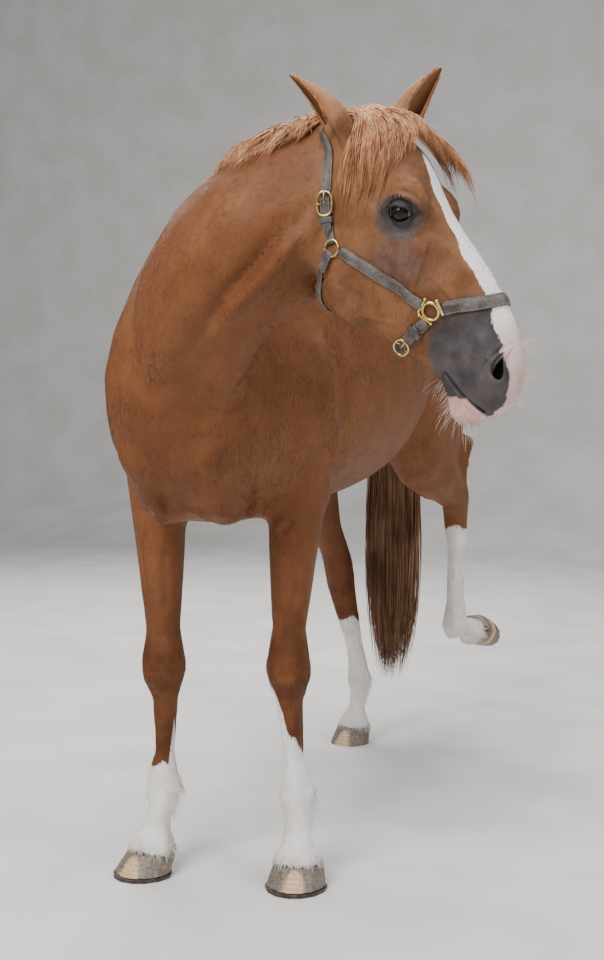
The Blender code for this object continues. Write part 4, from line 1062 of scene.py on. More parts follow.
# %% [markdown]
# ## Lower legs
# Below knee and hock there is no muscle, so bone and tendon show as two columns with a groove between.
# The knee is a flat shield of small bones, and the fetlock has a knob on each side. The pastern widens to
# the hoof, so that no ledge is left there.

# %% Knees, tendons and fetlocks
#            sideways, back and up: bone of the arm and knee, folds below, above and across the knee,
#            its small bones, and the pad behind it
KNEE_ROWS = ((((0, -0.06, 0.60), (0, -0.06, 0.50), (0, -0.06, 0.40), (0, -0.06, 0.28)), 0.0020, 0.007),
             (((-0.04, -0.04, 0.404), (0, -0.06, 0.398), (0.04, -0.04, 0.404)), -0.0036, 0.008),
             (((-0.04, -0.04, 0.535), (0, -0.06, 0.540), (0.04, -0.04, 0.535)), -0.0022, 0.012),
             (((-0.03, -0.05, 0.462), (0, -0.06, 0.458), (0.03, -0.05, 0.462)), -0.0018, 0.006),
             (((0.022, -0.05, 0.490),), 0.0034, 0.015),
             (((-0.022, -0.05, 0.490),), 0.0034, 0.015),
             (((0.016, -0.05, 0.435),), 0.0034, 0.015),
             (((-0.018, -0.05, 0.437),), 0.0034, 0.015),
             (((0.0, 0.06, 0.490),), 0.0070, 0.020))
for name in ("fore_left", "fore_right", "hind_right"):
    middle = node_middle("cannon_" + name)
    fore = name.startswith("fore")
    low, high, lean = (0.25, 0.38, 0.012) if fore else (0.27, 0.44, 0.0)
    leg_rows = []
    for side in (-0.05, 0.05):
        groove = [(side, lean, z) for z in (high, (low + high) / 2, low)]
        leg_rows += [(groove, -0.0036, 0.0065), (((side, 0.010, 0.190),), 0.0030, 0.018)]
    if fore:
        leg_rows += KNEE_ROWS
    sculpt(leg_rows, lambda x, y, z: nearest_spot(middle + Vector((x, y, z - middle.z))))
    print(name, len(leg_rows), "forms")


# %% Pasterns that meet their hooves
def hoof_axis(name):
    """Middles of a hoof and its pastern, and the direction up out of the hoof."""
    hoof, pastern = np.array(node_middle("hoof_" + name)), np.array(node_middle("pastern_" + name))
    if name == LIFTED:
        return hoof, pastern, (pastern - hoof) / np.linalg.norm(pastern - hoof)
    return hoof, pastern, np.array([0.0, 0.0, 1.0])


def hoof_rim(name):
    """How far the top edge of a hoof lies above the hoof's middle."""
    hoof, _, up = hoof_axis(name)
    return ((points_of(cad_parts["hoof_" + name].data) - hoof) @ up).max()


PASTERN_GROWTH = 0.17
HOCK_POINT = (0.270, 1.165, 0.880)
for name in LEGS:
    hoof, pastern, up = hoof_axis(name)
    height = (points - hoof) @ up - hoof_rim(name)
    away = points - hoof - np.outer((points - hoof) @ up, up)
    low = (np.linalg.norm(away, axis=1) < 0.085) & (height < 0.06) & (height > -0.03)
    base = points[low & (height < 0.012)].mean(axis=0)
    off = points - base - np.outer((points - base) @ up, up)
    points += off * (PASTERN_GROWTH * (1 - ramp(height, 0.000, 0.042)) * low)[:, None]
    print(name, "rim", round(float(hoof_rim(name)), 3), "points", int(low.sum()))
set_points(skin.data, points)
soften_round(points, [body_spot(*HOCK_POINT)], 30, 0.035, 0.085)
print("legs shaped")

# %% [markdown]
# ## Fewer triangles
# Many programs want a piece below 200,000 triangles. The collapse takes them from the flat parts of the
# body first, which hold more than they need.

# %% Collapse flat parts
TRIANGLES_WANTED = 186000
skin.data.calc_loop_triangles()
apply_modifier(skin, "DECIMATE", ratio=TRIANGLES_WANTED / len(skin.data.loop_triangles))
tree = surface_tree(skin)
skin.data.calc_loop_triangles()
print("skin:", len(skin.data.loop_triangles), "triangles")

# %% [markdown]
# ## Eyes
# A horse's eye is a big dark ball with a wide, level pupil, and white only in the corners. One pole of
# the ball looks out and bulges a little. Attributes hold each point's place seen from the front, so the
# material can draw iris and pupil by distance.

# %% Finish of the eye
eye_paint, at, shader = new_material("horse_eye", Roughness=0.25, Specular_IOR_Level=0.10, Coat_Weight=0.8,
                                     Coat_Roughness=0.02, Coat_IOR=1.33)
x, y, z = (at.attribute("iris_" + axis) for axis in "xyz")
off = (x * x + y * y).root()
pupil = ((x * x) * 0.30 + (y * y) * 1.6).root()
iris = at.noise(420.0, 2.0).over(0.3, 0.7).mix(rgb(20, 12, 9), rgb(46, 27, 17))
iris = off.over(0.0100, 0.0150).mix(iris, rgb(14, 9, 7))
white = at.noise(160.0, 3.0).over(0.4, 0.7).mix(rgb(150, 132, 120), rgb(84, 60, 50))
ball_colour = off.over(0.0150, 0.0172).mix(iris, white)
ball_colour = pupil.over(0.0046, 0.0054).mix(rgb(4, 4, 6), ball_colour)
ball_colour = z.over(-0.001, 0.002).mix(rgb(60, 40, 34), ball_colour)
feed(shader, Base_Color=ball_colour)
print("eye finish ready")


# %% Eyeballs
def store(thing, key, values):
    """Keeps a value for every point, for the materials to read."""
    layer = thing.data.attributes.get(key) or thing.data.attributes.new(key, "FLOAT", "POINT")
    layer.data.foreach_set("value", np.asarray(values, np.float32))


#            a little forwards of straight out, and the rise of the clear front
GAZE = np.array([0.10, -0.02, 1.0]) / np.linalg.norm([0.10, -0.02, 1.0])
CLEAR_RISE = 0.0016
for hand, name in SIDES.items():
    centre, axes = eye_frames[hand]
    bpy.ops.mesh.primitive_uv_sphere_add(segments=64, ring_count=48, radius=EYE_RADIUS)
    ball = bpy.context.object
    ball.name = "eyeball_" + name
    points = points_of(ball.data)
    for axis, values in zip("xyz", points.T):
        store(ball, "iris_" + axis, values)
    off = np.hypot(points[:, 0], points[:, 1])
    bulge = np.where(points[:, 2] > 0, CLEAR_RISE * (1 - ramp(off, 0.004, 0.0150)), 0.0)
    side = np.cross([0, 1, 0], GAZE)
    side /= np.linalg.norm(side)
    turn = np.array([side, np.cross(GAZE, side), GAZE])
    own = points * (1 + bulge / EYE_RADIUS)[:, None]
    set_points(ball.data, (own @ turn) @ axes + centre)
    ball.data.shade_smooth()
    register(ball, "eye", "eye_" + name)
    paint(ball, eye_paint)
    print("eyeball", name, len(ball.data.polygons), "faces")

# %% [markdown]
# ## Markings
# The coat has a white blaze, a pink nose and chin, grey skin round the eyes and on the muzzle, and four
# white legs. White and pink are stored for every point as distances to their edges, and grey as a share.
# The material cuts the edges with a little noise, so that they look like hair and not like paint.


# %% White legs
#                 height of the white's edge, and where a strip runs up from it: turn, width and height
SOCKS = {"fore_left": (0.300, -1.12, 0.62, 0.130), "fore_right": (0.235, 1.80, 0.58, 0.120),
         "hind_left": (0.690, 0, 1, 0), "hind_right": (0.385, 0, 1, 0)}


def leg_white(points):
    """Distance below the edge of each leg's white, in metres."""
    fore = points[:, 1] < 0.1
    middle_fore = (node_middle("cannon_fore_left").x + node_middle("cannon_fore_right").x) / 2
    middle_hind = (node_middle("cannon_hind_left").x + node_middle("cannon_hind_right").x) / 2
    left = points[:, 0] > np.where(fore, middle_fore, middle_hind)
    white = np.full(len(points), -0.3)
    for name, (top, strip_turn, strip_width, strip_height) in SOCKS.items():
        middle = np.array(node_middle("cannon_" + name))
        turn = np.arctan2(points[:, 0] - middle[0], -(points[:, 1] - middle[1]))
        edge = top + 0.008 * np.sin(turn * 2 + 1) + 0.003 * np.sin(turn * 5)
        edge = edge + strip_height * bell(turn, strip_turn, strip_width)
        if name == "fore_left":
            edge = edge + 0.012 * np.cos(turn + 0.5)
        is_leg = (fore == name.startswith("fore")) & (left == name.endswith("left"))
        white = np.where(is_leg, edge - points[:, 2], white)
    return white


print("white up to", [round(row[0] + row[3], 2) for row in SOCKS.values()], "m")

# %% Markings of the face
#              down, half width of the white down the face
BLAZE_ROWS = np.array([(0.080, -0.020), (0.110, -0.004), (0.130, 0.009), (0.160, 0.019), (0.200, 0.025),
                       (0.250, 0.030), (0.330, 0.034), (0.400, 0.033), (0.450, 0.034), (0.500, 0.037),
                       (0.540, 0.040), (0.570, 0.035), (0.600, 0.021), (0.640, 0.013)])
LOW_LIP = np.array([0.600, -0.132, 0.0])
FAR_FROM_EDGE = -0.05


def blaze_white(down, front, left):
    """Distance inside the edge of the blaze, which wanders a little from side to side."""
    wander = 0.002 * np.sin(down * 41) + 0.0016 * np.sin(down * 97 + 1)
    blaze = np.interp(down, BLAZE_ROWS[:, 0], BLAZE_ROWS[:, 1]) - np.abs(left + wander)
    return np.minimum(blaze, (front + 0.078 + 0.06 * ramp(down, 0.56, 0.60)) * 0.8)


def grey_skin(points, down, front):
    """How dark and bare the skin is: round the eyes, on the muzzle and in smudges on the cheek."""
    dark = np.zeros(len(points))
    for centre, axes in eye_frames.values():
        along, across, out = ((points - centre) @ axes.T).T
        reach = np.hypot(along / np.where(along > 0, 1.05, 1.15), across / np.where(across > 0, 0.85, 1.25))
        dark = np.maximum(dark, (1 - ramp(reach, 0.022, 0.056)) * (out > -0.03))
    muzzle = ramp(down + 0.10 * np.minimum(front + 0.06, 0), 0.372, 0.448)
    lip = ramp(front + 0.45 * (down - 0.50), -0.178, -0.128)
    smudge = 0.42 * np.exp(-((down - 0.315) / 0.055) ** 2 - ((front + 0.085) / 0.060) ** 2)
    smudge = smudge + 0.35 * np.exp(-((down - 0.270) / 0.050) ** 2 - ((front + 0.120) / 0.050) ** 2)
    return np.maximum(np.maximum(dark, muzzle * lip), smudge)


print("blaze at its widest", round(2000 * BLAZE_ROWS[:, 1].max()), "mm")

# %% All markings together
def markings(points, normals):
    """Signed distances and shares of every marking, for any points on the skin."""
    place = head_places(points)
    down, front, left = place.T
    is_head = region_weights(points)[0] > 0.3
    blaze = blaze_white(down, front, left)
    blaze = np.where(is_head & (normals @ np.array(HEAD_FRONT) > -0.75), blaze, FAR_FROM_EDGE)
    chin = 0.070 - np.linalg.norm((place - LOW_LIP) * (1, 1, 1.2), axis=1)
    below_mouth = (down - 0.500) * 0.36 - 0.124 - front
    chin = np.where(is_head, np.minimum(chin, below_mouth), FAR_FROM_EDGE)
    dark = np.where(is_head, grey_skin(points, down, front), 0.0)
    return {"blaze": blaze, "chin": chin, "dark": dark, "socks": leg_white(points)}


def coat_values(points, normals):
    """Every attribute that the coat finish reads, on the skin and on the tufts."""
    values = markings(points, normals)
    values["face_share"] = region_weights(points)[0]
    values["leg_share"] = 1 - ramp(points[:, 2], 0.50, 0.72)
    values["nose_share"] = ramp(head_places(points)[:, 0], 0.44, 0.52)
    return values


print("marking helpers ready")

# %% Painted shade in the hollows
points, normals = points_of(skin.data), normals_of(skin.data)
for key, values in coat_values(points, normals).items():
    store(skin, key, values)
# painted shade: near-black inside the nostrils, along the mouth's slit, at the edges of the lids and in the
# eye's front corner, where shade falls
shade_in_hollows = np.zeros(len(points))
for hand in SIDES:
    centre, axes = nostril_frames[hand]
    along, across, out = ((points - centre) @ axes.T).T
    inside = (np.hypot(along / 1.9, across) < 0.0135) & (out > -0.034)
    shade_in_hollows = np.maximum(shade_in_hollows, (1 - ramp(out, -0.012, -0.003)) * inside)
    away = line_distance(points, mouth_lines[hand], 0.002)[0]
    shade_in_hollows = np.maximum(shade_in_hollows, 0.8 * (1 - ramp(away, 0.0010, 0.0036)))
    centre, axes = eye_frames[hand]
    along, across, out = ((points - centre) @ axes.T).T
    rim = almond(along, across, 0.0212, 0.0140)
    shade_in_hollows = np.maximum(shade_in_hollows, (1 - ramp(rim, 0.98, 1.14)) * (np.abs(out) < 0.05))
    corner = np.hypot((along - 0.0250) / 0.0090, (across + 0.0010) / 0.0080)
    shade_in_hollows = np.maximum(shade_in_hollows, 0.62 * (1 - ramp(corner, 0.45, 1.25)) * (out > 0))
store(skin, "hollow", shade_in_hollows)
print("markings stored;", int((shade_in_hollows > 0.5).sum()), "points lie in dark hollows")

# %% [markdown]
# ## Unwrap of the skin
# A baked picture needs to know where each tuft of the coat grows. So the skin is unwrapped once, and
# every tuft gets a small patch of that unwrap at its own root.

# %% Unwrap
edit_whole(skin, (bpy.ops.uv.smart_project, {"angle_limit": math.radians(75), "island_margin": 0.002}))
skin.data.uv_layers.active.name = "OFBake"
print("skin unwrapped")

# %% [markdown]
# ## Lie of the coat
# Hair lies back along the barrel, down the legs, breast and face, and up the ears. Each region has one
# direction, blended where regions meet, with a slow swirl, because no coat is perfectly straight.

# %% Lie of the coat
#             which way the hair points on each region, in the model's own frame
LIE_BODY, LIE_BREAST = np.array([0.0, 1.0, -0.45]), np.array([0.0, 0.10, -1.0])
LIE_NECK, LIE_LEGS = np.array([-0.62, 0.42, -0.66]), np.array([0.0, 0.05, -1.0])
SWIRL = 0.10
ear_lines = [(np.array(root), np.array(tip)) for root, tip, facing, width in EARS.values()]


def on_ear(points, root, tip, start):
    """1 near the line from an ear's root to its tip, growing from nothing at its start."""
    axis = tip - root
    share = np.clip((points - root) @ axis / (axis @ axis), 0, 1)
    away = np.linalg.norm(points - root - share[:, None] * axis, axis=1)
    return (1 - ramp(away, 0.036, 0.046)) * ramp(share, start, 0.20)


def ear_share(points):
    return np.maximum(*(on_ear(points, root, tip, 0.05) for root, tip in ear_lines))


print("directions for body, breast, neck and legs, with a swirl of", SWIRL)

# %% Directions blended over the body
def blend(first, second, share):
    """Rows of one kind that turn into another by a share for each row."""
    return first * (1 - share)[:, None] + second * share[:, None]


def flat_rows(way, normals):
    """Directions laid flat on the skin, one in each row."""
    way = way - normals * np.sum(way * normals, axis=1, keepdims=True)
    return way / (np.linalg.norm(way, axis=1, keepdims=True) + 1e-9)


def coat_lie(points, normals):
    """The direction of the hair at points of the skin, flat on the surface."""
    x, y, z = points.T
    way = blend(LIE_BODY, LIE_BREAST, 1 - ramp(y, -0.40, -0.12))
    way = blend(way, LIE_NECK, ramp(z, 1.10, 1.28) * (1 - ramp(y, -0.50, -0.25)))
    way = blend(way, LIE_LEGS, 1 - ramp(z, 0.72, 0.98))
    sweep = ramp(-head_places(points)[:, 1], 0.05, 0.20)
    face = np.array(HEAD_DOWN) - np.outer(0.10 + 0.75 * sweep, np.array(HEAD_FRONT))
    for root, tip in ear_lines:
        axis = tip - root
        face = blend(face, axis / np.linalg.norm(axis), on_ear(points, root, tip, 0.02))
    way = blend(way, face, region_weights(points)[0])
    swirl = np.stack([np.sin(points @ np.array([9.0, 4.0, 7.0])), np.cos(points @ np.array([5.0, 8.0, 3.0])),
                      np.sin(points @ np.array([3.0, 6.0, 9.0]) + 1)], 1)
    return flat_rows(way + swirl * SWIRL, normals)


store(skin, "ears", ear_share(points_of(skin.data)))
print("ears cover", round(100 * float(ear_share(points_of(skin.data)).mean())), "% of the skin's points")

# %% [markdown]
# ## Short coat
# Relief alone would leave the outline as smooth as plastic, so thin tufts of mesh lie over the skin. A
# tuft is a closed sliver with its root just under the skin. They are shortest on the face and below the
# knees. Roots are scattered over the triangles by area, but none in hollows, on the ears or in sharp
# creases, where they would stick out.


# %% Size and number of the tufts
def coat_sizes(points):
    """Length, width and wanted number per square metre of tufts at points."""
    head_share, _ = region_weights(points)
    leg = 1 - ramp(points[:, 2], 0.55, 0.85)
    length = 0.0150 - 0.0040 * leg
    under = (1 - ramp(points[:, 2], 0.86, 0.98)) * ramp(points[:, 2], 0.72, 0.86)
    length += 0.005 * under * (points[:, 1] > -0.35) * (points[:, 1] < 0.45)
    muzzle = ramp(head_places(points)[:, 0], 0.42, 0.52)
    length = length * (1 - head_share) + (0.0088 - 0.0034 * muzzle) * head_share
    length = length * (1 - 0.55 * ear_share(points))
    width = 0.0021 - 0.0003 * leg
    width = width * (1 - head_share) + (0.0017 - 0.0004 * muzzle) * head_share
    many = 25000 + 12000 * leg
    many = many * (1 - head_share) + (72000 - 20000 * muzzle) * head_share
    return length, width, many


CREASE_COSINE = 0.68
mesh = skin.data
mesh.calc_loop_triangles()
corner_of = read(mesh.loop_triangles, "vertices", 3, np.int32)
loop_of = read(mesh.loop_triangles, "loops", 3, np.int32)
skin_points, skin_normals = points_of(mesh), normals_of(mesh)
corners = skin_points[corner_of]
flats = np.cross(corners[:, 1] - corners[:, 0], corners[:, 2] - corners[:, 0])
areas = np.linalg.norm(flats, axis=1) / 2
flats /= 2 * areas[:, None] + 1e-12
creased = (skin_normals[corner_of] * flats[:, None]).sum(axis=2).min(axis=1) < CREASE_COSINE
print("skin area", round(float(areas.sum()), 2), "square metres")

# %% Root places
HOLLOW_SHADE_LIMIT = 0.30
middles = corners.mean(axis=1)
hollow = read(mesh.attributes["hollow"].data, "value", 1)[:, 0]
many = coat_sizes(middles)[2]
many = many * (hollow[corner_of].max(axis=1) < HOLLOW_SHADE_LIMIT) * (1 - ear_share(middles)) * ~creased
coat_chance = np.random.default_rng(21)
chosen = np.repeat(np.arange(len(areas)), coat_chance.poisson(areas * many))
a, b = coat_chance.uniform(0, 1, (2, len(chosen)))
flip = a + b > 1
a, b = np.where(flip, 1 - a, a), np.where(flip, 1 - b, b)
weights = np.stack([1 - a - b, a, b], 1)[..., None]
roots = (skin_points[corner_of[chosen]] * weights).sum(axis=1)
root_normals = (skin_normals[corner_of[chosen]] * weights).sum(axis=1)
root_normals /= np.linalg.norm(root_normals, axis=1, keepdims=True)
root_places = (read(mesh.uv_layers["OFBake"].data, "uv", 2)[loop_of[chosen]] * weights).sum(axis=1)
print(len(roots), "tufts")


# %% Meshes from arrays
def fast_mesh(title, points, faces):
    """A mesh object from arrays of points and of faces with equal numbers of corners."""
    mesh = bpy.data.meshes.new(title)
    mesh.vertices.add(len(points))
    mesh.vertices.foreach_set("co", points.astype(np.float32).ravel())
    mesh.loops.add(faces.size)
    mesh.loops.foreach_set("vertex_index", faces.astype(np.int32).ravel())
    mesh.polygons.add(len(faces))
    mesh.polygons.foreach_set("loop_start", np.arange(0, faces.size, faces.shape[1], dtype=np.int32))
    mesh.update(calc_edges=True)
    thing = bpy.data.objects.new(title, mesh)
    bpy.context.scene.collection.objects.link(thing)
    return thing


print("mesh builder ready")

# %% Tufts
#              along, across, up: the corners of one tuft, in lengths, widths and heights
TUFT = np.array([(-0.05, 0, -0.5), (0.36, -0.5, 0.12), (0.36, 0.5, 0.12), (0.32, 0, 0.42), (1, 0, 0.5)])
TUFT_FACES = np.array([(0, 2, 1), (0, 1, 3), (0, 3, 2), (4, 1, 2), (4, 3, 1), (4, 2, 3)])
TUFT_TIP = np.array([0.0, 0.35, 0.35, 0.45, 1.0])
#                 the corners of a tuft's patch on the unwrap
TUFT_PATCH = np.array([(-1, 0), (-0.3, -1), (-0.3, 1), (0, 0), (1, 0)]) * 0.0015
TUFT_RISE = 0.6


def tuft_points(base, up):
    """Corners of a tuft at every root, with its own length, width, direction and rise."""
    long, wide, _ = coat_sizes(base)
    count = len(base)
    long = long * coat_chance.uniform(0.65, 1.25, count)
    wide = wide * coat_chance.uniform(0.7, 1.3, count)
    jitter = 0.13 * (1 - 0.6 * ear_share(base))
    way = coat_lie(base, up) + coat_chance.normal(0, 1, (count, 3)) * jitter[:, None]
    way -= up * np.sum(way * up, axis=1, keepdims=True)
    way /= np.linalg.norm(way, axis=1, keepdims=True)
    height = wide * coat_chance.uniform(0.35, 0.75, count) * TUFT_RISE
    return (base[:, None] + way[:, None] * (TUFT[None, :, :1] * long[:, None, None])
            + np.cross(up, way)[:, None] * (TUFT[None, :, 1:2] * wide[:, None, None])
            + up[:, None] * (TUFT[None, :, 2:] * height[:, None, None]))


def tuft_piece(title, chosen):
    """One mesh of tufts at the chosen roots, with their values and unwrap patches."""
    base, up = roots[chosen], root_normals[chosen]
    count = len(base)
    points = tuft_points(base, up)
    faces = (TUFT_FACES[None] + (np.arange(count) * len(TUFT))[:, None, None]).reshape(-1, 3)
    thing = fast_mesh(title, points.reshape(-1, 3), faces)
    for key, values in coat_values(base, up).items():
        store(thing, key, np.repeat(values, len(TUFT)))
    store(thing, "tip", np.tile(TUFT_TIP, count))
    store(thing, "own", np.repeat(coat_chance.uniform(0, 1, count), len(TUFT)))
    patch = (root_places[chosen][:, None] + TUFT_PATCH).reshape(-1, 2)
    layer = thing.data.uv_layers.new(name="OFBake")
    layer.data.foreach_set("uv", patch[faces.ravel()].astype(np.float32).ravel())
    thing.data.shade_smooth()
    thing.data.normals_split_custom_set_from_vertices(np.repeat(up, len(TUFT), axis=0).tolist())
    register(thing, "chestnut_coat")
    print(title, len(thing.data.polygons), "faces")
    return thing


print("a tuft has", len(TUFT), "points and", len(TUFT_FACES), "faces")

# %% Coat pieces
#          the name of each piece, and the roots that it holds
on_head = region_weights(roots)[0] > 0.5
low = roots[:, 2] < 0.80
back = roots[:, 1]
regions = {"coat_face": on_head,
           "coat_fore_legs": ~on_head & low & (back < 0.0),
           "coat_hind_legs": ~on_head & low & (back >= 0.0),
           "coat_neck": ~on_head & ~low & (back < -0.36),
           "coat_shoulders": ~on_head & ~low & (back >= -0.36) & (back < 0.02),
           "coat_barrel": ~on_head & ~low & (back >= 0.02) & (back < 0.38),
           "coat_quarters": ~on_head & ~low & (back >= 0.38)}
coat_pieces = [tuft_piece(title, chosen) for title, chosen in regions.items()]
print(sum(len(piece.data.polygons) for piece in coat_pieces), "faces in", len(coat_pieces), "pieces")

# %% [markdown]
# ## Coat finish
# The coat lies flat, so most of it is colour and very fine relief: noise stretched along the lie of the
# hair. The lie differs on barrel, legs and face, so three streak directions are mixed.


# %% Colours of the coat
def coat_streaks(at):
    """Fine streaks along the lie of the hair on barrel, legs and face."""
    body = at.streaks((520, 90, 140), (0.25, 0, 0.2))
    legs = at.streaks((520, 520, 60))
    face = at.streaks((420, 520, 75), (0.0, 0.45, HEAD_TURN - math.pi / 2))
    return at.attribute("face_share").mix(at.attribute("leg_share").mix(body, legs), face)


def chestnut(at, dapple, fine_streak):
    """The red brown of the coat: warm on the body, darker on the legs and paler on the face."""
    patches = at.noise(3.4, 2.0).over(0.20, 0.80)
    rich = patches.mix(rgb(102, 59, 33), rgb(122, 76, 46))
    warm = dapple.mix(rich, patches.mix(rgb(110, 65, 38), rgb(130, 83, 52)))
    colour = at.attribute("leg_share").mix(warm, dapple.mix(rgb(88, 49, 25), rgb(108, 64, 36)))
    colour = at.attribute("face_share").mix(colour, dapple.mix(rgb(108, 69, 42), rgb(134, 90, 60)))
    colour = at.attribute("ears").mix(colour, dapple.mix(rgb(146, 100, 68), rgb(164, 116, 82)))
    return fine_streak.mix(colour.shaded(0.86), colour)


def with_markings(at, colour, dapple, streaks, fine_streak):
    """Grey skin, blaze, pink nose and chin, white legs, and painted shade in the hollows over the coat."""
    grey = dapple.mix(rgb(60, 55, 57), rgb(84, 77, 78))
    dark = at.attribute("dark") * (0.84 + 0.28 * at.noise(45.0))
    colour = dark.over(0.10, 0.95).mix(colour, grey)
    frayed = (streaks - 0.5) * 0.0045 + (at.noise(130.0, 2.0) - 0.5) * 0.003
    white_hair = fine_streak.mix(rgb(222, 214, 211), rgb(246, 241, 239))
    nose_pink = dapple.mix(rgb(198, 168, 164), rgb(216, 192, 189))
    blaze_colour = (at.attribute("face_share") * at.attribute("nose_share")).mix(white_hair, nose_pink)
    colour = (at.attribute("blaze") + frayed).over(-0.0010, 0.0012).mix(colour, blaze_colour)
    chin_pink = dapple.mix(rgb(196, 150, 142), rgb(216, 178, 168))
    colour = (at.attribute("chin") + frayed).over(-0.001, 0.002).mix(colour, chin_pink)
    sock = at.noise(14.0).over(0.3, 0.7).mix(rgb(220, 214, 209), rgb(244, 240, 237))
    sock = fine_streak.mix(sock.shaded(0.88), sock)
    colour = (at.attribute("socks") + frayed * 2.2).over(-0.002, 0.003).mix(colour, sock)
    # painted shade: the hollows of nostrils, mouth and lids are darkened to near black
    return at.attribute("hollow").mix(colour, rgb(26, 20, 20))


print("three lies of the hair, six markings")


# %% Coat on the skin and on the tufts
def coat_finish(title, tufts):
    """The chestnut coat with its markings; on tufts each hair clump has its own tone."""
    material, at, shader = new_material(title, Roughness=0.56, Specular_IOR_Level=0.20)
    streaks = coat_streaks(at)
    fine_streak = streaks.over(0.30, 0.70)
    dapple = at.noise(16.0, 3.0, 0.6).over(0.35, 0.65)
    colour = with_markings(at, chestnut(at, dapple, fine_streak), dapple, streaks, fine_streak)
    relief = streaks.bump(0.0016, 0.55)
    if tufts:
        own = at.attribute("own") * 0.22 + at.attribute("tip") * 0.14 + 0.84
        feed(shader, Base_Color=colour.shaded(own), Normal=relief)
    else:
        feed(shader, Base_Color=colour, Normal=at.cells(520.0).bump(0.0005, 0.35, relief))
    return material


paint(skin, coat_finish("chestnut_coat", tufts=False))
skin.data.shade_smooth()
tuft_finish = coat_finish("chestnut_tufts", tufts=True)
for piece in coat_pieces:
    paint(piece, tuft_finish)
register(skin, "chestnut_coat", *FLESH, "ear_left", "ear_right")
print("skin and", len(coat_pieces), "coat pieces painted")

# %% [markdown]
# ## Long hair
# Mane, forelock and tail hang in locks, bundles of strands. Particle hair or curves don't survive in
# every program, so a strand is plain mesh: a thin three-sided tube that tapers to nothing.


# %% Strand builder
def strand_cells(thing, steps):
    """Gives every strand a cell of its own in the unwrap: across is around, up is along it."""
    mesh = thing.data
    count = len(mesh.vertices) // (steps * 3)
    side = math.ceil(math.sqrt(count))
    index = read(mesh.loops, "vertex_index", 1, np.int32)[:, 0]
    strand, rest = index // (steps * 3), index % (steps * 3)
    across = (strand % side + 0.2 + 0.3 * (rest % 3)) / side
    along = (strand // side + 0.1 + 0.8 * (rest // 3) / (steps - 1)) / side
    layer = mesh.uv_layers.new(name="OFBake")
    layer.data.foreach_set("uv", np.stack([across, along], 1).astype(np.float32).ravel())


def strands(title, paths, widths, taper):
    """Three-sided tapering tubes along paths (strand, step, axis), closed at both ends."""
    count, steps = paths.shape[:2]
    ahead = np.gradient(paths, axis=1)
    ahead /= np.linalg.norm(ahead, axis=2, keepdims=True) + 1e-9
    across = np.cross(ahead, np.tile(np.array([0.31, 0.87, 0.38]), (count, steps, 1)))
    across /= np.linalg.norm(across, axis=2, keepdims=True) + 1e-9
    other = np.cross(ahead, across)
    shares = np.linspace(0, 1, steps)
    radius = np.interp(shares, np.linspace(0, 1, len(taper)), taper)[None, :] * widths[:, None] / 2
    index = np.arange(count * steps * 3).reshape(count, steps, 3)
    rings, quads = [], []
    for k in range(3):
        turn = 2 * math.pi * k / 3
        rings.append(paths + (across * math.cos(turn) + other * math.sin(turn)) * radius[..., None])
        m = (k + 1) % 3
        sheet = np.stack([index[:, :-1, k], index[:, :-1, m], index[:, 1:, m], index[:, 1:, k]], -1)
        quads.append(sheet.reshape(-1, 4))
    thing = fast_mesh(title, np.stack(rings, axis=2).reshape(-1, 3), np.concatenate(quads))
    edit_whole(thing, (bpy.ops.mesh.fill_holes, {"sides": 4}),
               (bpy.ops.mesh.normals_make_consistent, {"inside": False}))
    thing.data.shade_smooth()
    strand_cells(thing, steps)
    return thing


print("a strand of 8 rings has", 8 * 3, "points")

# %% [markdown]
# ## Locks
# Guide paths say where the hair goes. Every lock runs between two neighbouring guides, its strands end
# closer together than they start, and their points are lifted clear of the skin.

# %% Locks between guides
STRANDS_PER_LOCK = 14
LOCK_WAVE = 0.007
HAIR_TAPER = (0.75, 1.0, 0.9, 0.08)


def along_path(path, shares):
    return columns_at(shares, np.linspace(0, 1, len(path)), path)


def grow_locks(guides, locks, steps, spread, tip_spread, lift, seed, length=(0.72, 1.0)):
    """Paths of many strands between guide paths, lying on the skin."""
    chance = np.random.default_rng(seed)
    guides = [np.array(curve_through(guide, 4)) for guide in guides]
    size = max(len(guide) for guide in guides)
    guides = np.array([along_path(guide, np.linspace(0, 1, size)) for guide in guides])
    t = np.linspace(0, 1, steps)[:, None]
    paths = []
    for _ in range(locks):
        at_guide = chance.uniform(0, len(guides) - 1)
        low = min(int(at_guide), len(guides) - 2)
        centre = guides[low] * (1 - at_guide + low) + guides[low + 1] * (at_guide - low)
        drift = chance.normal(0, spread * 1.2, 3)
        reach = chance.uniform(*length)
        turn = chance.uniform(0, 6.28)
        for _ in range(STRANDS_PER_LOCK):
            own = chance.normal(0, 1, 3)
            path = along_path(centre, np.linspace(0, reach * chance.uniform(0.86, 1.0), steps))
            path += drift * (0.3 + 0.7 * t) + own * (spread * (1 - t) + tip_spread * t)
            swing = np.sin(t * chance.uniform(4, 7) + turn) * LOCK_WAVE * t
            path += np.array([swing[:, 0], swing[:, 0] * 0.6, -swing[:, 0] * 0.3]).T
            paths.append(path)
    for path in paths:
        lift_clear(path, chance.uniform(0.25, 1.0) * lift)
    return np.array(paths)


def lift_clear(path, height):
    """Moves points of a path out of the skin, the farther along the more clear of it."""
    for i, point in enumerate(path):
        place, normal, _, _ = tree.find_nearest(Vector(point))
        least = height * (0.35 + 0.65 * i / len(path))
        if (Vector(point) - place).dot(normal) < least:
            path[i] = place + normal * least


print(STRANDS_PER_LOCK, "strands in a lock")

# %% [markdown]
# ## Mane
# The short mane falls to the right behind the ears and goes over to the left towards the withers. Each
# guide starts on the crest and is combed down over the skin step by step.

# %% Mane
#        the crest of the neck from behind the ears to the withers
CREST = [(0.374, -0.330, 1.575), (0.310, -0.312, 1.568), (0.215, -0.272, 1.550), (0.135, -0.214, 1.527),
         (0.066, -0.135, 1.508), (0.022, -0.045, 1.510), (0.007, 0.050, 1.530), (0.004, 0.150, 1.545)]
COMB_STEPS, COMB_LIFT = 8, 0.006


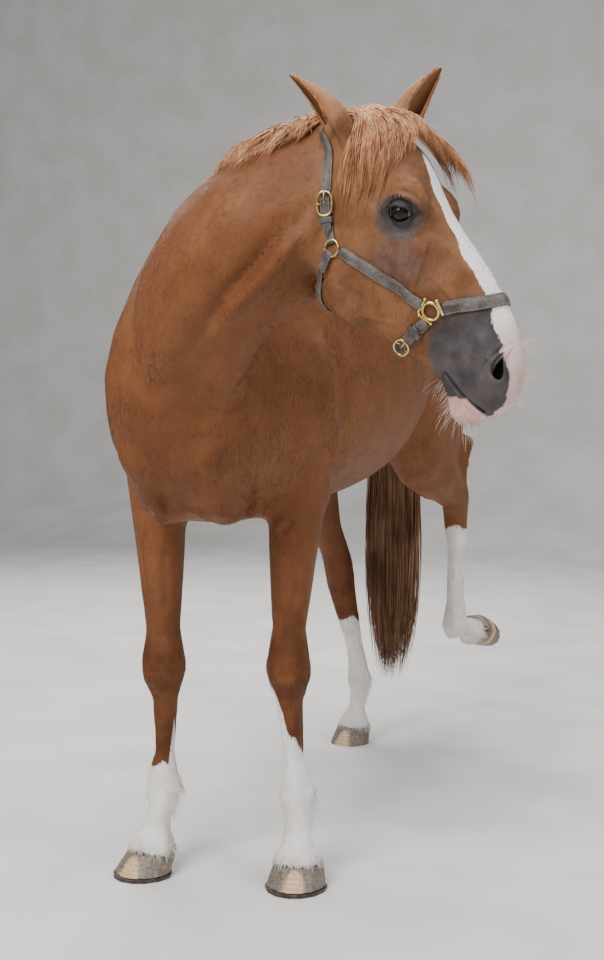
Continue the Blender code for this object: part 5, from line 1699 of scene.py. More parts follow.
def combed(root, fall, length):
    place, path = Vector(root), []
    for _ in range(COMB_STEPS + 1):
        spot, normal, _, _ = tree.find_nearest(place)
        path.append(spot + normal * COMB_LIFT)
        place = spot + flattened(fall, normal) * (length / COMB_STEPS)
    return path


def mane_length(share):
    """Length of the mane at a share of the way from the ears to the withers."""
    length = 0.100 + 0.085 * ramp(share, 0.06, 0.30) + 0.020 * ramp(share, 0.52, 0.66)
    return float(length - (0.145 * ramp(share, 0.66, 1.0) + 0.035 * ramp(share, 0.85, 1.0)))


mane_guides = []
crest = curve_through(CREST, 3)
for i, point in enumerate(crest):
    share = i / (len(crest) - 1)
    back = Vector(crest[min(i + 1, len(crest) - 1)] - crest[max(i - 1, 0)]).normalized()
    right = Vector((back.y, -back.x, 0)).normalized()
    right = right if right.dot(Vector((-1, -1, 0))) > 0 else -right
    over = float(1 - 2.1 * ramp(share, 0.52, 0.70))
    aside = (0.75 - 0.33 * ramp(share, 0.08, 0.28)) * over
    fall = right * aside - UP * 0.8 + back * (0.05 + 0.15 * share)
    mane_guides.append(combed(body_point(*point) - right * 0.012, fall, mane_length(share)))
mane_paths = grow_locks(mane_guides, 200, 10, 0.005, 0.0030, 0.009, seed=3)
hair_chance = np.random.default_rng(5)
mane_widths = hair_chance.uniform(0.0013, 0.0024, len(mane_paths))
mane = strands("mane_hair_locks", mane_paths, mane_widths, HAIR_TAPER)
print("mane:", len(mane.data.polygons), "faces")

# %% [markdown]
# ## Forelock
# The forelock grows between the ears and fans out over the brow. Its ends are what is seen, so each guide
# is given by where its lock ends.

# %% Forelock
#                 where a lock ends: down, front, left
FORELOCK_ENDS = ((0.140, -0.160, -0.084), (0.168, -0.154, -0.088), (0.190, -0.142, -0.092),
                 (0.200, -0.124, -0.094), (0.190, -0.104, -0.094), (0.170, -0.080, -0.096),
                 (0.156, -0.050, -0.088), (0.146, -0.024, -0.062), (0.126, -0.002, -0.026),
                 (0.118, 0.002, 0.014), (0.140, 0.006, 0.045), (0.172, 0.004, 0.075),
                 (0.204, 0.008, 0.100), (0.222, 0.018, 0.120), (0.200, -0.020, 0.114))
SWEPT_LOCKS = 7
forelock_guides = []
for i, (down, front, left) in enumerate(FORELOCK_ENDS):
    sweep = min(i / SWEPT_LOCKS, 1) if left < 0 else 0
    root = head_point(-0.004, -0.100, left * (0.62 - 0.34 * sweep) if left < 0 else left * 0.34)
    over = head_point(0.018 + down * 0.08, -0.026 + front * 0.22, left * (0.74 - 0.46 * sweep))
    middle = head_point(down * 0.58, front * (0.74 - 0.30 * sweep) + 0.008, left * (1.00 - 0.34 * sweep))
    forelock_guides.append([root, over, middle, head_point(down, front, left * 1.05)])
forelock_paths = grow_locks(forelock_guides, 120, 11, 0.0042, 0.0021, 0.011, seed=8, length=(0.8, 1.0))
forelock_widths = hair_chance.uniform(0.0011, 0.0021, len(forelock_paths))
forelock = strands("forelock_locks", forelock_paths, forelock_widths, HAIR_TAPER)
print("forelock:", len(forelock.data.polygons), "faces")

# %% [markdown]
# ## Tail
# The tail hangs from the dock. It is given as a row of ovals from the dock to the tip. Strands come out
# from inside the dock, so that no cut ends show at the top.

# %% Tail
#            x, y, z of the middle, half width, half depth
TAIL_ROWS = [(-0.001, 1.352, 1.376, 0.018, 0.014),
             (-0.003, 1.394, 1.300, 0.036, 0.028),
             (-0.006, 1.412, 1.180, 0.048, 0.038),
             (-0.010, 1.408, 1.040, 0.058, 0.044),
             (-0.014, 1.402, 0.860, 0.074, 0.048),
             (-0.018, 1.398, 0.640, 0.084, 0.050),
             (-0.020, 1.396, 0.440, 0.078, 0.044),
             (-0.020, 1.395, 0.290, 0.058, 0.032),
             (-0.020, 1.395, 0.160, 0.030, 0.016)]
TAIL_LOCKS, TAIL_STRANDS, TAIL_STEPS = 210, 10, 13
tail_rows = np.array(curve_through(TAIL_ROWS, 3))
tail_paths = []
for _ in range(TAIL_LOCKS):
    turn, out = hair_chance.uniform(0, 6.28), math.sqrt(hair_chance.uniform(0.05, 1.0))
    start, reach = 0.26 * hair_chance.uniform(0, 1) ** 1.5, hair_chance.uniform(0.80, 1.0)
    wave = hair_chance.uniform(0.0, 6.28)
    for _ in range(TAIL_STRANDS):
        t = np.linspace(start, reach * hair_chance.uniform(0.93, 1.0), TAIL_STEPS)
        row = columns_at(t * (len(tail_rows) - 1), np.arange(len(tail_rows)), tail_rows)
        emerging = 0.25 + 0.75 * ramp(t - start, 0.0, 0.10)
        own = hair_chance.normal(0, 0.0055, 2)[:, None] * emerging
        sway = np.sin(t * 9 + wave) * 0.006
        x = row[:, 0] + row[:, 3] * emerging * out * math.cos(turn) + own[0] + sway
        y = row[:, 1] + row[:, 4] * emerging * out * math.sin(turn) + own[1]
        tail_paths.append(np.stack([x, y, row[:, 2]], 1) + np.array(SHIFT))
tail = strands("tail_hair_locks", np.array(tail_paths), hair_chance.uniform(0.0024, 0.0044, len(tail_paths)),
               (0.35, 1.0, 1.0, 0.9, 0.5, 0.08))
print("tail:", len(tail.data.polygons), "faces")

# %% [markdown]
# ## Whiskers
# Stiff single hairs stand out of nose and chin. Each grows from one of the coat's own roots.


# %% Whiskers
def near_roots(spots, reach, number, seed):
    away = np.min([np.linalg.norm(roots - np.array(spot), axis=1) for spot in spots], axis=0)
    return some_of(away < reach, number, seed)


def some_of(fitting, number, seed):
    """A number of the roots that fit, picked by chance."""
    found = np.flatnonzero(fitting)
    return np.random.default_rng(seed).choice(found, min(number, len(found)), replace=False)


def bristles(title, chosen, length, width, way, droop, seed):
    """Thin single hairs from chosen roots: out of the skin first, then along a way."""
    chance = np.random.default_rng(seed)
    base, out = roots[chosen], root_normals[chosen]
    way = np.broadcast_to(np.array(way, float), base.shape)
    lean = out * chance.uniform(0.5, 1.0, (len(base), 1)) + way + chance.normal(0, 0.22, base.shape)
    lean /= np.linalg.norm(lean, axis=1, keepdims=True)
    long = chance.uniform(*length, (len(base), 1, 1))
    t = np.linspace(-0.04, 1, 5)[None, :, None]
    paths = base[:, None] + lean[:, None] * (long * t) + np.array(droop) * (long * t * t)
    return strands(title, paths, chance.uniform(*width, len(base)), (1.0, 0.8, 0.55, 0.15))


down_way, front_way = np.array(HEAD_DOWN), np.array(HEAD_FRONT)
NOSE_SPOTS = [head_point(down, front, left)
              for down, front in ((0.590, -0.030), (0.555, -0.004), (0.515, 0.008)) for left in (0.0, 0.022)]
CHIN_SPOTS = [head_point(*place) for place in ((0.590, -0.135, 0.0), (0.560, -0.145, -0.015),
                                               (0.560, -0.145, 0.015), (0.520, -0.140, 0.0))]
WHISKER_WIDTH = (0.0004, 0.0007)
nose_hairs = bristles("whiskers_nose", near_roots(NOSE_SPOTS, 0.016, 80, 61), (0.012, 0.032), WHISKER_WIDTH,
                      down_way * 0.25, down_way * 0.15, 62)
chin_hairs = bristles("whiskers_chin", near_roots(CHIN_SPOTS, 0.030, 110, 63), (0.018, 0.048), WHISKER_WIDTH,
                      down_way * 0.35 - front_way * 0.35, down_way * 0.25, 64)
print("whiskers:", len(nose_hairs.data.polygons) + len(chin_hairs.data.polygons), "faces")

# %% [markdown]
# ## Lashes
# Lashes stand along the upper lid. They lean away from the eye's middle, are longest there, and bend down
# a little.

# %% Lashes
LASHES, LASH_REACH = 46, 0.0175
lash_paths = []
lash_chance = np.random.default_rng(65)
t = np.linspace(0, 1, 5)[:, None]
for centre, axes in eye_frames.values():
    for u in np.linspace(-0.0165, LASH_REACH, LASHES):
        rise = LID_UP * (1 - (abs(u) / LID_IN) ** 1.8) ** (1 / 1.8) + 0.0012
        depth = math.sqrt(max((EYE_RADIUS + 0.0036) ** 2 - u * u - rise * rise, 0.0001))
        root = centre + np.array([u, rise, depth - 0.0010]) @ axes
        aside, upwards = u * 14 + lash_chance.normal(0, 0.10), 0.30 + lash_chance.normal(0, 0.12)
        lean = np.array([aside, upwards, 1.0]) @ axes
        long = lash_chance.uniform(0.007, 0.0125) * (1 - 0.35 * abs(u) / LASH_REACH)
        lash_paths.append(root + lean * (long * t) + (np.array([0, -0.45, 0]) @ axes) * (long * t * t))
lashes = strands("eyelashes", np.array(lash_paths), np.full(len(lash_paths), 0.0006), (1.0, 0.9, 0.6, 0.15))
print("lashes:", len(lash_paths))

# %% [markdown]
# ## Hair of the ears, fetlocks and coronets
# Soft hairs fringe the edge of each ear. Coarser hair falls from the coronet over the top of the hoof,
# and a small tuft hangs behind each standing fetlock.

# %% Ear hair
#            at shares up the ear: its width there, and how far round its edges are curled
EDGE_WIDTHS = ((0.1, 0.38, 0.56, 0.74, 0.97), (0.96, 1.0, 0.86, 0.62, 0.17))
EDGE_CURLS = ((0.1, 0.38, 0.56, 0.97), (2.7, 2.15, 1.98, 1.70))
EAR_HAIRS, EAR_WIDTH = 260, 0.068
ear_paths = []
ear_chance = np.random.default_rng(71)
t = np.linspace(0, 1, 5)[:, None]
for (root, tip), (_, _, facing, _) in zip(ear_lines, EARS.values()):
    axis = (tip - root) / np.linalg.norm(tip - root)
    facing = np.array(facing) - axis * (np.array(facing) @ axis)
    facing /= np.linalg.norm(facing)
    side = np.cross(axis, facing)
    for hand in SIDES:
        for share in np.linspace(0.12, 0.93, EAR_HAIRS):
            width = EAR_WIDTH * float(np.interp(share, *EDGE_WIDTHS)) / 2
            curl = float(np.interp(share, *EDGE_CURLS))
            edge = side * hand * math.sin(curl) * width - facing * math.cos(curl) * width * 0.72
            spot = nearest_spot(root + (tip - root) * share + edge)
            lean = -side * hand * ear_chance.uniform(-0.25, 0.55) + facing * ear_chance.uniform(-0.2, 0.3)
            lean = lean + axis * ear_chance.uniform(0.8, 1.2)
            long = ear_chance.uniform(0.003, 0.009)
            ear_paths.append(spot + lean * (long * t) + axis * (0.4 * long * t * t))
ear_widths = ear_chance.uniform(0.0005, 0.0009, len(ear_paths))
ear_hair = strands("ear_hair", np.array(ear_paths), ear_widths, HAIR_TAPER)
print("ear hair:", len(ear_paths), "hairs")

# %% Coronets and fetlocks
feet_hair = []
for k, name in enumerate(LEGS):
    hoof, pastern, up = hoof_axis(name)
    height = (roots - hoof) @ up - hoof_rim(name)
    on_coronet = (np.linalg.norm(roots - hoof, axis=1) < 0.11) & (height > -0.004) & (height < 0.016)
    found = some_of(on_coronet & (np.abs(root_normals @ up) < 0.85), 420, 80 + k)
    feet_hair.append(bristles("coronet_hair_" + name, found, (0.013, 0.022), (0.0011, 0.0019),
                              -up * 1.9, -up * 0.1, 84 + k))
    if name == LIFTED:
        continue
    behind = (roots[:, 2] > 0.120) & (roots[:, 2] < 0.215) & (root_normals[:, 1] > 0.55)
    found = some_of(behind & (np.linalg.norm((roots - pastern)[:, :2], axis=1) < 0.09), 260, 90 + k)
    feet_hair.append(bristles("fetlock_hair_" + name, found, (0.014, 0.034), (0.0010, 0.0018),
                              (0, 0.2, -1.5), (0, 0.05, -0.3), 94 + k))
print("foot hair:", sum(len(thing.data.polygons) for thing in feet_hair), "faces")

# %% [markdown]
# ## Hair finish
# In long hair dark and light strands lie side by side. Noise stretched along the fall parts the strands,
# and a slow noise changes the tone of both.

# %% Hair finish
#              the dark and the light strands, each as a pair of close tones
HAIR_TONES = {"copper_hair": ((134, 80, 48), (152, 94, 58), (206, 150, 106), (220, 168, 124)),
              "brown_hair": ((76, 48, 32), (98, 64, 43), (146, 104, 74), (172, 130, 98)),
              "pale_hair": ((176, 156, 140), (196, 178, 164), (222, 210, 200), (236, 228, 220)),
              "white_hair": ((206, 200, 195), (220, 214, 209), (232, 227, 223), (244, 240, 237)),
              "dark_lash": ((36, 26, 22), (46, 34, 28), (70, 54, 44), (84, 64, 52))}
hair_paints = {}
for title, tones in HAIR_TONES.items():
    hair_paints[title], at, shader = new_material(title, Roughness=0.45, Specular_IOR_Level=0.4)
    dark_1, dark_2, light_1, light_2 = (rgb(*tone) for tone in tones)
    strand = at.streaks((150, 150, 7), detail=4.0).over(0.30, 0.68)
    tone = at.noise(9.0).over(0.35, 0.65)
    feed(shader, Base_Color=strand.mix(tone.mix(dark_1, dark_2), tone.mix(light_1, light_2)))
for thing, title in ((nose_hairs, "pale_hair"), (chin_hairs, "pale_hair"), (lashes, "dark_lash"),
                     (ear_hair, "copper_hair")):
    paint(thing, hair_paints[title])
    register(thing, "mane_hair")
for thing in feet_hair:
    paint(thing, hair_paints["white_hair"])
    register(thing, "white_coat")
for thing, node, title in ((mane, "mane", "copper_hair"), (forelock, "forelock", "copper_hair"),
                           (tail, "tail_hair", "brown_hair")):
    paint(thing, hair_paints[title])
    register(thing, "mane_hair", node)
print(len(hair_paints), "hair finishes")

# %% [markdown]
# ## Hooves
# Horn grows down from the coronet in faint rings, tan in front and greyer at the quarters. The packed
# hoof has the right size, so its copy is melted finely and smoothed, and growth rings are pressed into it
# along lines of equal distance from the coronet.

# %% Horn of the hooves
HORN_GRAIN = 0.0024
RING_RATES, RING_DEPTH = (34, 55, 83), 0.00045
CORONET_LEVEL, CORONET_ROLL = 0.93, 0.0012
hooves = []
for name in LEGS:
    horn = copy_of(["hoof_" + name], "horn_" + name)
    hoof, pastern, up = hoof_axis(name)
    apply_modifier(horn, "REMESH", mode="VOXEL", voxel_size=HORN_GRAIN)
    soften(horn.data, 14)
    points, normals = points_of(horn.data), normals_of(horn.data)
    ahead = hoof - pastern
    ahead = ahead - up * (ahead @ up)
    ahead /= np.linalg.norm(ahead) + 1e-9
    height = (points - hoof) @ up
    forward = (points - hoof) @ ahead
    turn = np.arctan2((points - hoof) @ np.cross(up, ahead), forward)
    # the rings run level with the coronet, which is higher in front
    slope = 0.30 * (forward - forward.mean())
    level = (height - slope - height.min()) / (height.max() - height.min())
    wall = 1 - ramp(np.abs(normals @ up), 0.55, 0.85)
    chance = np.random.default_rng(31)
    rings = sum(np.sin(level * rate + chance.uniform(0, 6)) for rate in RING_RATES) / 3
    points += normals * (rings * RING_DEPTH * wall)[:, None]
    points += normals * (CORONET_ROLL * bell(level, CORONET_LEVEL, 0.06) * wall)[:, None]
    set_points(horn.data, points)
    store(horn, "level", level)
    store(horn, "front", bell(turn, 0.10, 0.42) * (1 - 0.75 * ramp(level, 0.35, 0.85)))
    horn.data.shade_smooth()
    hooves.append(horn)
print("hooves:", sum(len(horn.data.polygons) for horn in hooves), "faces")

# %% Horn finish
hoof_paint, at, shader = new_material("hoof_horn", Roughness=0.45)
level, front = at.attribute("level"), at.attribute("front")
bands = (level * 26.0 + at.noise(30.0, 2.0) * 3.0).sine()
grain = at.streaks((240, 240, 30), detail=4.0)
tan = grain.over(0.3, 0.7).mix(rgb(196, 160, 122), rgb(222, 190, 152))
grey = grain.over(0.3, 0.7).mix(rgb(92, 84, 78), rgb(140, 126, 112))
horn_colour = (front + (at.noise(40.0) - 0.5) * 0.35).over(0.25, 0.70).mix(grey, tan)
horn_colour = ((bands * 0.5 + 0.5) * 0.22).mix(horn_colour, rgb(84, 72, 62))
horn_colour = (level + (at.noise(60.0) - 0.5) * 0.04).over(0.84, 0.92).mix(horn_colour, rgb(176, 158, 138))
feed(shader, Base_Color=horn_colour, Normal=(grain * 0.6 + bands * 0.2).bump(0.0009, 0.6))
for name, horn in zip(LEGS, hooves):
    paint(horn, hoof_paint)
    register(horn, "hoof_horn", "hoof_" + name)
print("horn painted")

# %% [markdown]
# ## Shoes
# The fore feet wear plain steel rims. Their packed forms are right, so the copies only get the small
# rounded edges that wear gives steel.

# %% Shoes
steel, at, shader = new_material("worn_steel", Metallic=1.0, Roughness=0.45)
rust = at.noise(70.0, 4.0)
steel_colour = rust.over(0.4, 0.7).mix(rgb(92, 92, 94), rgb(84, 66, 54))
feed(shader, Base_Color=steel_colour, Roughness=0.35 + 0.35 * rust)
for name in ("left", "right"):
    shoe = copy_of(["shoe_fore_" + name], "shoe_" + name)
    apply_modifier(shoe, "BEVEL", width=0.0011, segments=2, limit_method="ANGLE",
                   angle_limit=math.radians(50))
    select_only(shoe)
    bpy.ops.object.shade_smooth_by_angle(angle=math.radians(40))
    paint(shoe, steel)
    register(shoe, "shoe_steel", "shoe_fore_" + name)
    print("shoe", name, len(shoe.data.polygons), "faces")

# %% [markdown]
# ## Headcollar
# The headcollar is dark leather with brass fittings. A strap is a padded band with rounded edges and two
# rows of stitches. A box bent by a curve would cut into the cheek, so the band is lofted along its route
# over the skin, turned at every step to lie flat.


# %% Route of a strap
def resting(place, lift):
    """The place on the skin below a given place, lifted a little, and the skin's direction."""
    spot, normal, _, _ = tree.find_nearest(Vector(place))
    return spot + normal * lift, normal


def evened(rows, rounds):
    """Rows drawn towards the mean of their neighbours, all but the first and the last."""
    for _ in range(rounds):
        rows[1:-1] = rows[1:-1] * 0.5 + (rows[:-2] + rows[2:]) * 0.25
    return rows


STRAP_STEP = 0.006


def strap_frames(route, lift):
    """Places, directions and normals at even steps along a route on the head."""
    line = np.array(curve_through([tuple(head_point(*place)) for place in route], 8))
    line = evened(np.array([resting(p, lift)[0] for p in line]), 6)
    lengths = lengths_along(line)
    count = max(int(lengths[-1] / STRAP_STEP), 4)
    normals, placed = [], []
    for p in columns_at(np.linspace(0, lengths[-1], count), lengths, line):
        spot, normal = resting(p, lift)
        placed.append(p if (Vector(p) - spot).dot(normal) > 0 else np.array(spot))
        normals.append(normal)
    line = np.array(placed)
    ahead = np.gradient(line, axis=0)
    ahead /= np.linalg.norm(ahead, axis=1, keepdims=True)
    across = np.cross(ahead, evened(np.array(normals), 8))
    across /= np.linalg.norm(across, axis=1, keepdims=True)
    return line, ahead, across, np.cross(across, ahead)


tree = surface_tree(skin)
print("skin rests at", np.round(resting(head_point(0.3, -0.14, -0.08), 0)[0], 3), "on the cheek")

# %% Band and stitches
STRAP_WIDTH, STRAP_THICK, STRAP_LIFT = 0.022, 0.0042, 0.0022
#             across, up: half of the strap's section, from edge to middle
STRAP_EDGE = [(1.00, 0.10), (0.97, 0.38), (0.86, 0.50), (0.74, 0.42), (0.62, 0.62), (0.30, 0.86), (0.0, 0.92)]
STRAP_SECTION = STRAP_EDGE + [(-a, u) for a, u in STRAP_EDGE[-2::-1]] + [(-0.97, -0.02), (0.97, -0.02)]
STITCH_SPACING, STITCH_INSET = 0.0045, 0.80
#               along, half width: the rings of one stitch
STITCH_RINGS = ((-0.0014, 0.0001), (-0.0006, 0.00048), (0.0006, 0.00048), (0.0014, 0.0001))


def stitches(title, frames, width, thick):
    """Two rows of small stretched beads along the edges of a band."""
    lengths = lengths_along(frames[0])
    points, faces = [], []
    for spot in np.arange(STITCH_SPACING * 2, lengths[-1] - STITCH_SPACING * 2, STITCH_SPACING):
        place, ahead, across, up = (columns_at([spot], lengths, values)[0] for values in frames)
        for hand in SIDES:
            centre = place + across * (hand * STITCH_INSET * width / 2) + up * (thick * 0.50)
            for ring, (reach, wide) in enumerate(STITCH_RINGS):
                middle, base = centre + ahead * reach, len(points)
                points += [middle - across * wide, middle + up * wide, middle + across * wide,
                           middle - up * wide * 0.8]
                if ring:
                    faces += [(base - 4 + k, base - 4 + (k + 1) % 4, base + (k + 1) % 4, base + k)
                              for k in range(4)]
    return mesh_object(title, points, faces)


def strap(title, route, width, lift=STRAP_LIFT, thick=STRAP_THICK, pointed=False):
    """A padded leather band with rounded edges, and its two rows of stitches."""
    frames = strap_frames(route, lift)
    rings = []
    for i, (place, _, across, up) in enumerate(zip(*frames)):
        narrow = 1.0
        if pointed:
            left = (len(frames[0]) - 1 - i) * STRAP_STEP
            narrow = min(1.0, 0.12 + (max(left, 0) / (width * 0.62)) ** 0.55)
        rings.append([Vector(place + across * (a * width / 2 * narrow) + up * (u * thick))
                      for a, u in STRAP_SECTION])
    return loft(rings, title), stitches(title + "_stitches", frames, width, thick)


print(len(STRAP_SECTION), "corners in a strap's section")


# %% Straps
def over_nose(side, middle):
    """A route from one side of the head to the other, through the middle."""
    return side + [middle] + mirrored(side)[::-1]


def mirrored(route):
    return [(down, front, -left) for down, front, left in route]


#             down, front and left along each strap, on the right side of the head
CROWN_SIDE = [(0.206, -0.198, -0.085), (0.168, -0.190, -0.085), (0.135, -0.177, -0.085),
              (0.104, -0.161, -0.083), (0.068, -0.144, -0.078), (0.038, -0.134, -0.072),
              (0.010, -0.138, -0.059), (-0.014, -0.131, -0.034)]
CHEEK = [(0.226, -0.188, -0.085), (0.265, -0.165, -0.085), (0.306, -0.141, -0.081), (0.345, -0.118, -0.076),
         (0.386, -0.097, -0.070)]
NOSE = [(0.405, -0.070, -0.069), (0.413, -0.038, -0.060), (0.423, -0.008, -0.037)]
CHIN = [(0.411, -0.106, -0.066), (0.419, -0.145, -0.058), (0.427, -0.186, -0.040)]
THROAT = [(0.221, -0.212, -0.082), (0.232, -0.240, -0.078), (0.254, -0.270, -0.066), (0.280, -0.290, -0.045)]
STRAPS = {"crown_strap": ("halter_crown", over_nose(CROWN_SIDE, (-0.024, -0.122, 0)), 0.0195),
          "cheek_strap_right": ("halter_cheek_right", CHEEK, 0.0210),
          "cheek_strap_left": ("halter_cheek_left", mirrored(CHEEK), 0.0210),
          "noseband": ("halter_noseband", over_nose(NOSE, (0.428, 0.006, 0)), 0.024),
          "chin_strap": ("halter_chin", over_nose(CHIN, (0.432, -0.203, 0)), 0.0215),
          "throat_strap": ("halter_throat", over_nose(THROAT, (0.292, -0.300, 0)), 0.0125)}
straps, threads = [], []
for title, (node, route, width) in STRAPS.items():
    band, thread = strap(title, route, width)
    register(band, "halter_leather", node)
    straps.append(band)
    threads.append(thread)
print(len(straps), "straps")

# %% [markdown]
# ## Strap ends and keepers
# Past each buckle the strap's pointed end lies on the strap itself, held by a keeper, a narrow leather
# loop. Two short tongues sew the throat strap to its rings.

# %% Strap ends and tongues
END_THICK = 0.0030
THROAT_TONGUE = [(0.217, -0.205, -0.083), (0.228, -0.222, -0.081), (0.241, -0.243, -0.077)]
STRAP_ENDS = {
    "crown_tail_right": ([(0.126, -0.173, -0.085), (0.158, -0.186, -0.085), (0.190, -0.196, -0.085)], 0.0185),
    "throat_tongue_right": (THROAT_TONGUE, 0.0185),
    "throat_tongue_left": (mirrored(THROAT_TONGUE), 0.0185),
    "chin_tail_right": ([(0.413, -0.126, -0.063), (0.420, -0.150, -0.058), (0.427, -0.180, -0.048)], 0.0200),
    "crown_tail_left": ([(0.128, -0.174, 0.085), (0.158, -0.186, 0.085), (0.188, -0.195, 0.085)], 0.0185)}
for title, (route, width) in STRAP_ENDS.items():
    band, thread = strap(title, route, width, STRAP_LIFT + STRAP_THICK, END_THICK, pointed=True)
    register(band, "halter_leather")
    straps.append(band)
    threads.append(thread)
for thread in threads:
    register(thread, "halter_leather")
print(len(STRAP_ENDS), "strap ends")

# %% Keepers
#                along, out: the section of the loop's leather
KEEPER_SECTION = ((-1, -1), (1, -1), (1, 0.6), (0.7, 1), (-0.7, 1), (-1, 0.6))
CROWN_FALL = HEAD_DOWN * 0.90 - HEAD_FRONT * 0.43
CHIN_RISE = HEAD_FRONT * 0.95 - HEAD_DOWN * 0.28


def keeper(title, place, way, width):
    """A narrow leather loop that holds the strap's tail down."""
    spot, normal = resting(head_point(*place), 0.0016)
    ahead = flattened(way, normal)
    across = ahead.cross(normal)
    rings = []
    for k in range(-8, 9):
        angle = math.pi * k / 16
        flat = max(-1, min(1, math.sin(angle) * 1.5))
        rise = min(1.0, math.cos(angle) * 2.2)
        centre = spot + across * (flat * (width / 2 + 0.0018)) + normal * (rise * 0.0082)
        out = (across * math.sin(angle) + normal * math.cos(angle)).normalized()
        rings.append([centre + ahead * (a * 0.0052) + out * (b * 0.0011) for a, b in KEEPER_SECTION])
    loop = loft(rings, title)
    register(loop, "halter_leather")
    straps.append(loop)


keeper("keeper_crown_right", (0.164, -0.188, -0.085), CROWN_FALL, 0.0195)
keeper("keeper_crown_left", (0.164, -0.188, 0.085), CROWN_FALL, 0.0195)
keeper("keeper_chin_right", (0.415, -0.134, -0.061), CHIN_RISE, STRAP_WIDTH)
print(len(straps), "leather pieces")

# %% [markdown]
# ## Brass fittings
# Rings, squares and buckles are round brass wire bent to a loop. A torus gives only round rings, so a
# loop here is a tube around any closed path. A square carries three bars with small ball ends, and a
# buckle has a tongue that rests on its frame.


# %% Wire
def tube(title, path, radius, closed=True, sides=10):
    """A round wire along a path of points."""
    path = np.array([tuple(p) for p in path])
    count = len(path)
    rings, normal = [], None
    for i in range(count):
        before = path[i - 1] if (closed or i) else path[i]
        after = path[(i + 1) % count] if (closed or i < count - 1) else path[i]
        ahead = Vector(after - before).normalized()
        normal = flattened(normal or ahead.orthogonal().normalized(), ahead)
        other = ahead.cross(normal)
        rings.append([Vector(path[i]) + (normal * math.cos(2 * math.pi * k / sides)
                                         + other * math.sin(2 * math.pi * k / sides)) * radius
                      for k in range(sides)])
    if not closed:
        return loft(rings, title)
    # the last ring meets the first one turned, so its corners are matched to the nearest ones
    turn = [(ring_point - rings[0][0]).length for ring_point in rings[-1]]
    closing = -turn.index(min(turn)) % sides
    faces = []
    for r in range(count):
        shift = closing if r == count - 1 else 0
        ahead = ((r + 1) % count) * sides
        for k in range(sides):
            faces.append((r * sides + k, r * sides + (k + 1) % sides,
                          ahead + (k + 1 + shift) % sides, ahead + (k + shift) % sides))
    made = mesh_object(title, [p for ring in rings for p in ring], faces)
    return edit_whole(made, (bpy.ops.mesh.normals_make_consistent, {"inside": False}))


print("wire tool ready")

# %% Places and paths of the fittings
def fitting_frame(place, way, lift):
    """A place on a strap, and the directions along the fitting, across it and out."""
    spot, normal = resting(head_point(*place), lift)
    along = flattened(way, normal)
    return spot, along, normal.cross(along), normal


def oval(spot, along, across, half_long, half_wide, square=2.0, count=40):
    """A closed path: a circle, an oval or, with a higher squareness, a rounded rectangle."""
    path = []
    for k in range(count):
        angle = 2 * math.pi * k / count
        c, s = math.cos(angle), math.sin(angle)
        path.append(spot + along * (half_long * math.copysign(abs(c) ** (2 / square), c))
                    + across * (half_wide * math.copysign(abs(s) ** (2 / square), s)))
    return path


brass = []


def fitting(title, parts, *nodes):
    made = join(title, *parts)
    made.data.shade_smooth()
    register(made, "brass_fitting", *nodes)
    brass.append(made)


print("fittings ready to be made")

# %% Rings and three-way squares
#               place of each on the right side of the head: down, front and left
RING_PLACE, SQUARE_PLACE = (0.214, -0.200, -0.085), (0.400, -0.088, -0.070)
#              which way each bar of a square lies: to the cheek strap, the noseband and the chin strap
BAR_WAYS = (HEAD_DOWN * -0.80 + HEAD_FRONT * -0.42, HEAD_FRONT + HEAD_DOWN * 0.12,
            HEAD_DOWN * 0.42 - HEAD_FRONT * 0.90)
BAR_AWAY, BAR_HALF = 0.0185, 0.0128
BAR_STEPS = (-BAR_HALF, -0.0124, -0.006, 0, 0.006, 0.0124, BAR_HALF)
for hand, name in SIDES.items():
    down, front, left = RING_PLACE
    spot, along, across, up = fitting_frame((down, front, -hand * left), HEAD_DOWN, 0.0052)
    fitting("ring_" + name, [tube("ring", oval(spot, along, across, 0.0150, 0.0145), 0.0021)],
            "halter_ring_" + name)
    down, front, left = SQUARE_PLACE
    spot, along, across, up = fitting_frame((down, front, -hand * left), HEAD_DOWN, 0.0056)
    parts = [tube("frame", oval(spot, along, across, 0.0155, 0.0145), 0.0026)]
    for way in BAR_WAYS:
        out = flattened(way, up)
        bar = out.cross(up)
        middle = spot + out * BAR_AWAY
        parts.append(tube("bar", [middle + bar * s for s in BAR_STEPS], 0.0022, closed=False))
        for end in (-BAR_HALF, BAR_HALF):
            bpy.ops.mesh.primitive_uv_sphere_add(segments=12, ring_count=8, radius=0.0031,
                                                 location=middle + bar * end)
            parts.append(settle(bpy.context.object))
    fitting("square_" + name, parts, "halter_square_" + name)
print(len(brass), "rings and squares")


# %% Buckles
def buckle(title, place, way, half_long, half_wide, *nodes):
    """An oblong frame with a bar that dips under the strap, and a tongue over it."""
    spot, along, across, up = fitting_frame(place, way, 0.0088)
    bar = [spot + across * s - up * (0.0052 * (1 - (s / half_wide) ** 2))
           for s in np.linspace(-half_wide, half_wide, 9)]
    tongue = [spot + along * (t * half_long) + up * (0.0010 + 0.0022 * math.sin(t * 2.9))
              for t in np.linspace(0, 1.0, 8)]
    parts = [tube("frame", oval(spot, along, across, half_long, half_wide, 2.6), 0.0021)]
    parts += [tube("bar", bar, 0.0015, closed=False), tube("tongue", tongue, 0.0013, closed=False)]
    fitting(title, parts, *nodes)


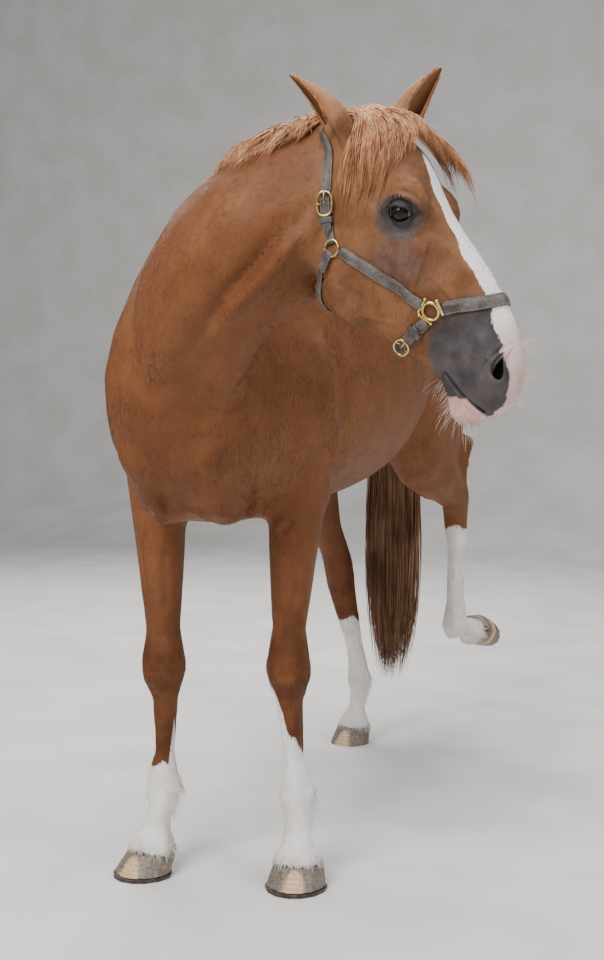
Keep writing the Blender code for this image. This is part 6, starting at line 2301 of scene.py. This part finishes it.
buckle("buckle_crown_right", (0.137, -0.178, -0.085), CROWN_FALL * -1, 0.0212, 0.0142, "halter_buckle_crown")
buckle("buckle_crown_left", (0.137, -0.178, 0.085), CROWN_FALL * -1, 0.0212, 0.0142)
buckle("buckle_chin_right", (0.427, -0.179, -0.050), CHIN_RISE, 0.0180, 0.0140, "halter_buckle_chin")
print(len(brass), "brass pieces")

# %% [markdown]
# ## Leather, thread and brass finishes
# Used leather is paler where it is rubbed, with a fine grain over soft creases. Brass is dulled by spots
# of tarnish, darker and rougher than the polished metal.

# %% Leather, thread and brass finishes
leather, at, shader = new_material("dark_leather", Roughness=0.5)
worn = at.noise(38.0, 4.0).over(0.35, 0.7)
soft = at.noise(210.0).over(0.3, 0.7)
dark_leather = soft.mix(rgb(54, 46, 44), rgb(70, 60, 58))
leather_colour = worn.mix(dark_leather, soft.mix(rgb(92, 84, 82), rgb(112, 104, 100)))
creases = at.noise(60.0).bump(0.0010, 0.4)
feed(shader, Base_Color=leather_colour, Roughness=0.42 + 0.25 * worn,
     Normal=at.cells(900.0).bump(0.0004, 0.5, creases))
thread_paint, at, shader = new_material("stitch_thread", Roughness=0.7)
feed(shader, Base_Color=at.noise(300.0).over(0.3, 0.7).mix(rgb(128, 120, 114), rgb(176, 168, 160)))
brass_paint, at, shader = new_material("worn_brass", Metallic=1.0, Roughness=0.24)
tarnish = at.noise(90.0, 4.0)
feed(shader, Base_Color=tarnish.over(0.35, 0.7).mix(rgb(232, 206, 138), rgb(196, 160, 92)),
     Roughness=0.16 + 0.30 * tarnish)
for pieces, finish in ((straps, leather), (threads, thread_paint), (brass, brass_paint)):
    for piece in pieces:
        paint(piece, finish)
        piece.data.shade_smooth()
print(len(straps) + len(threads) + len(brass), "pieces of the headcollar painted")

# %% [markdown]
# ## Size
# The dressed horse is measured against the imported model, to see that coat and loose hair stay close to
# the solids they cover.

# %% Size and finish
low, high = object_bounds()
print("visual box grows by", [round(float(a - b), 3) for a, b in zip(low, cad_low)],
      [round(float(a - b), 3) for a, b in zip(high, cad_high)])
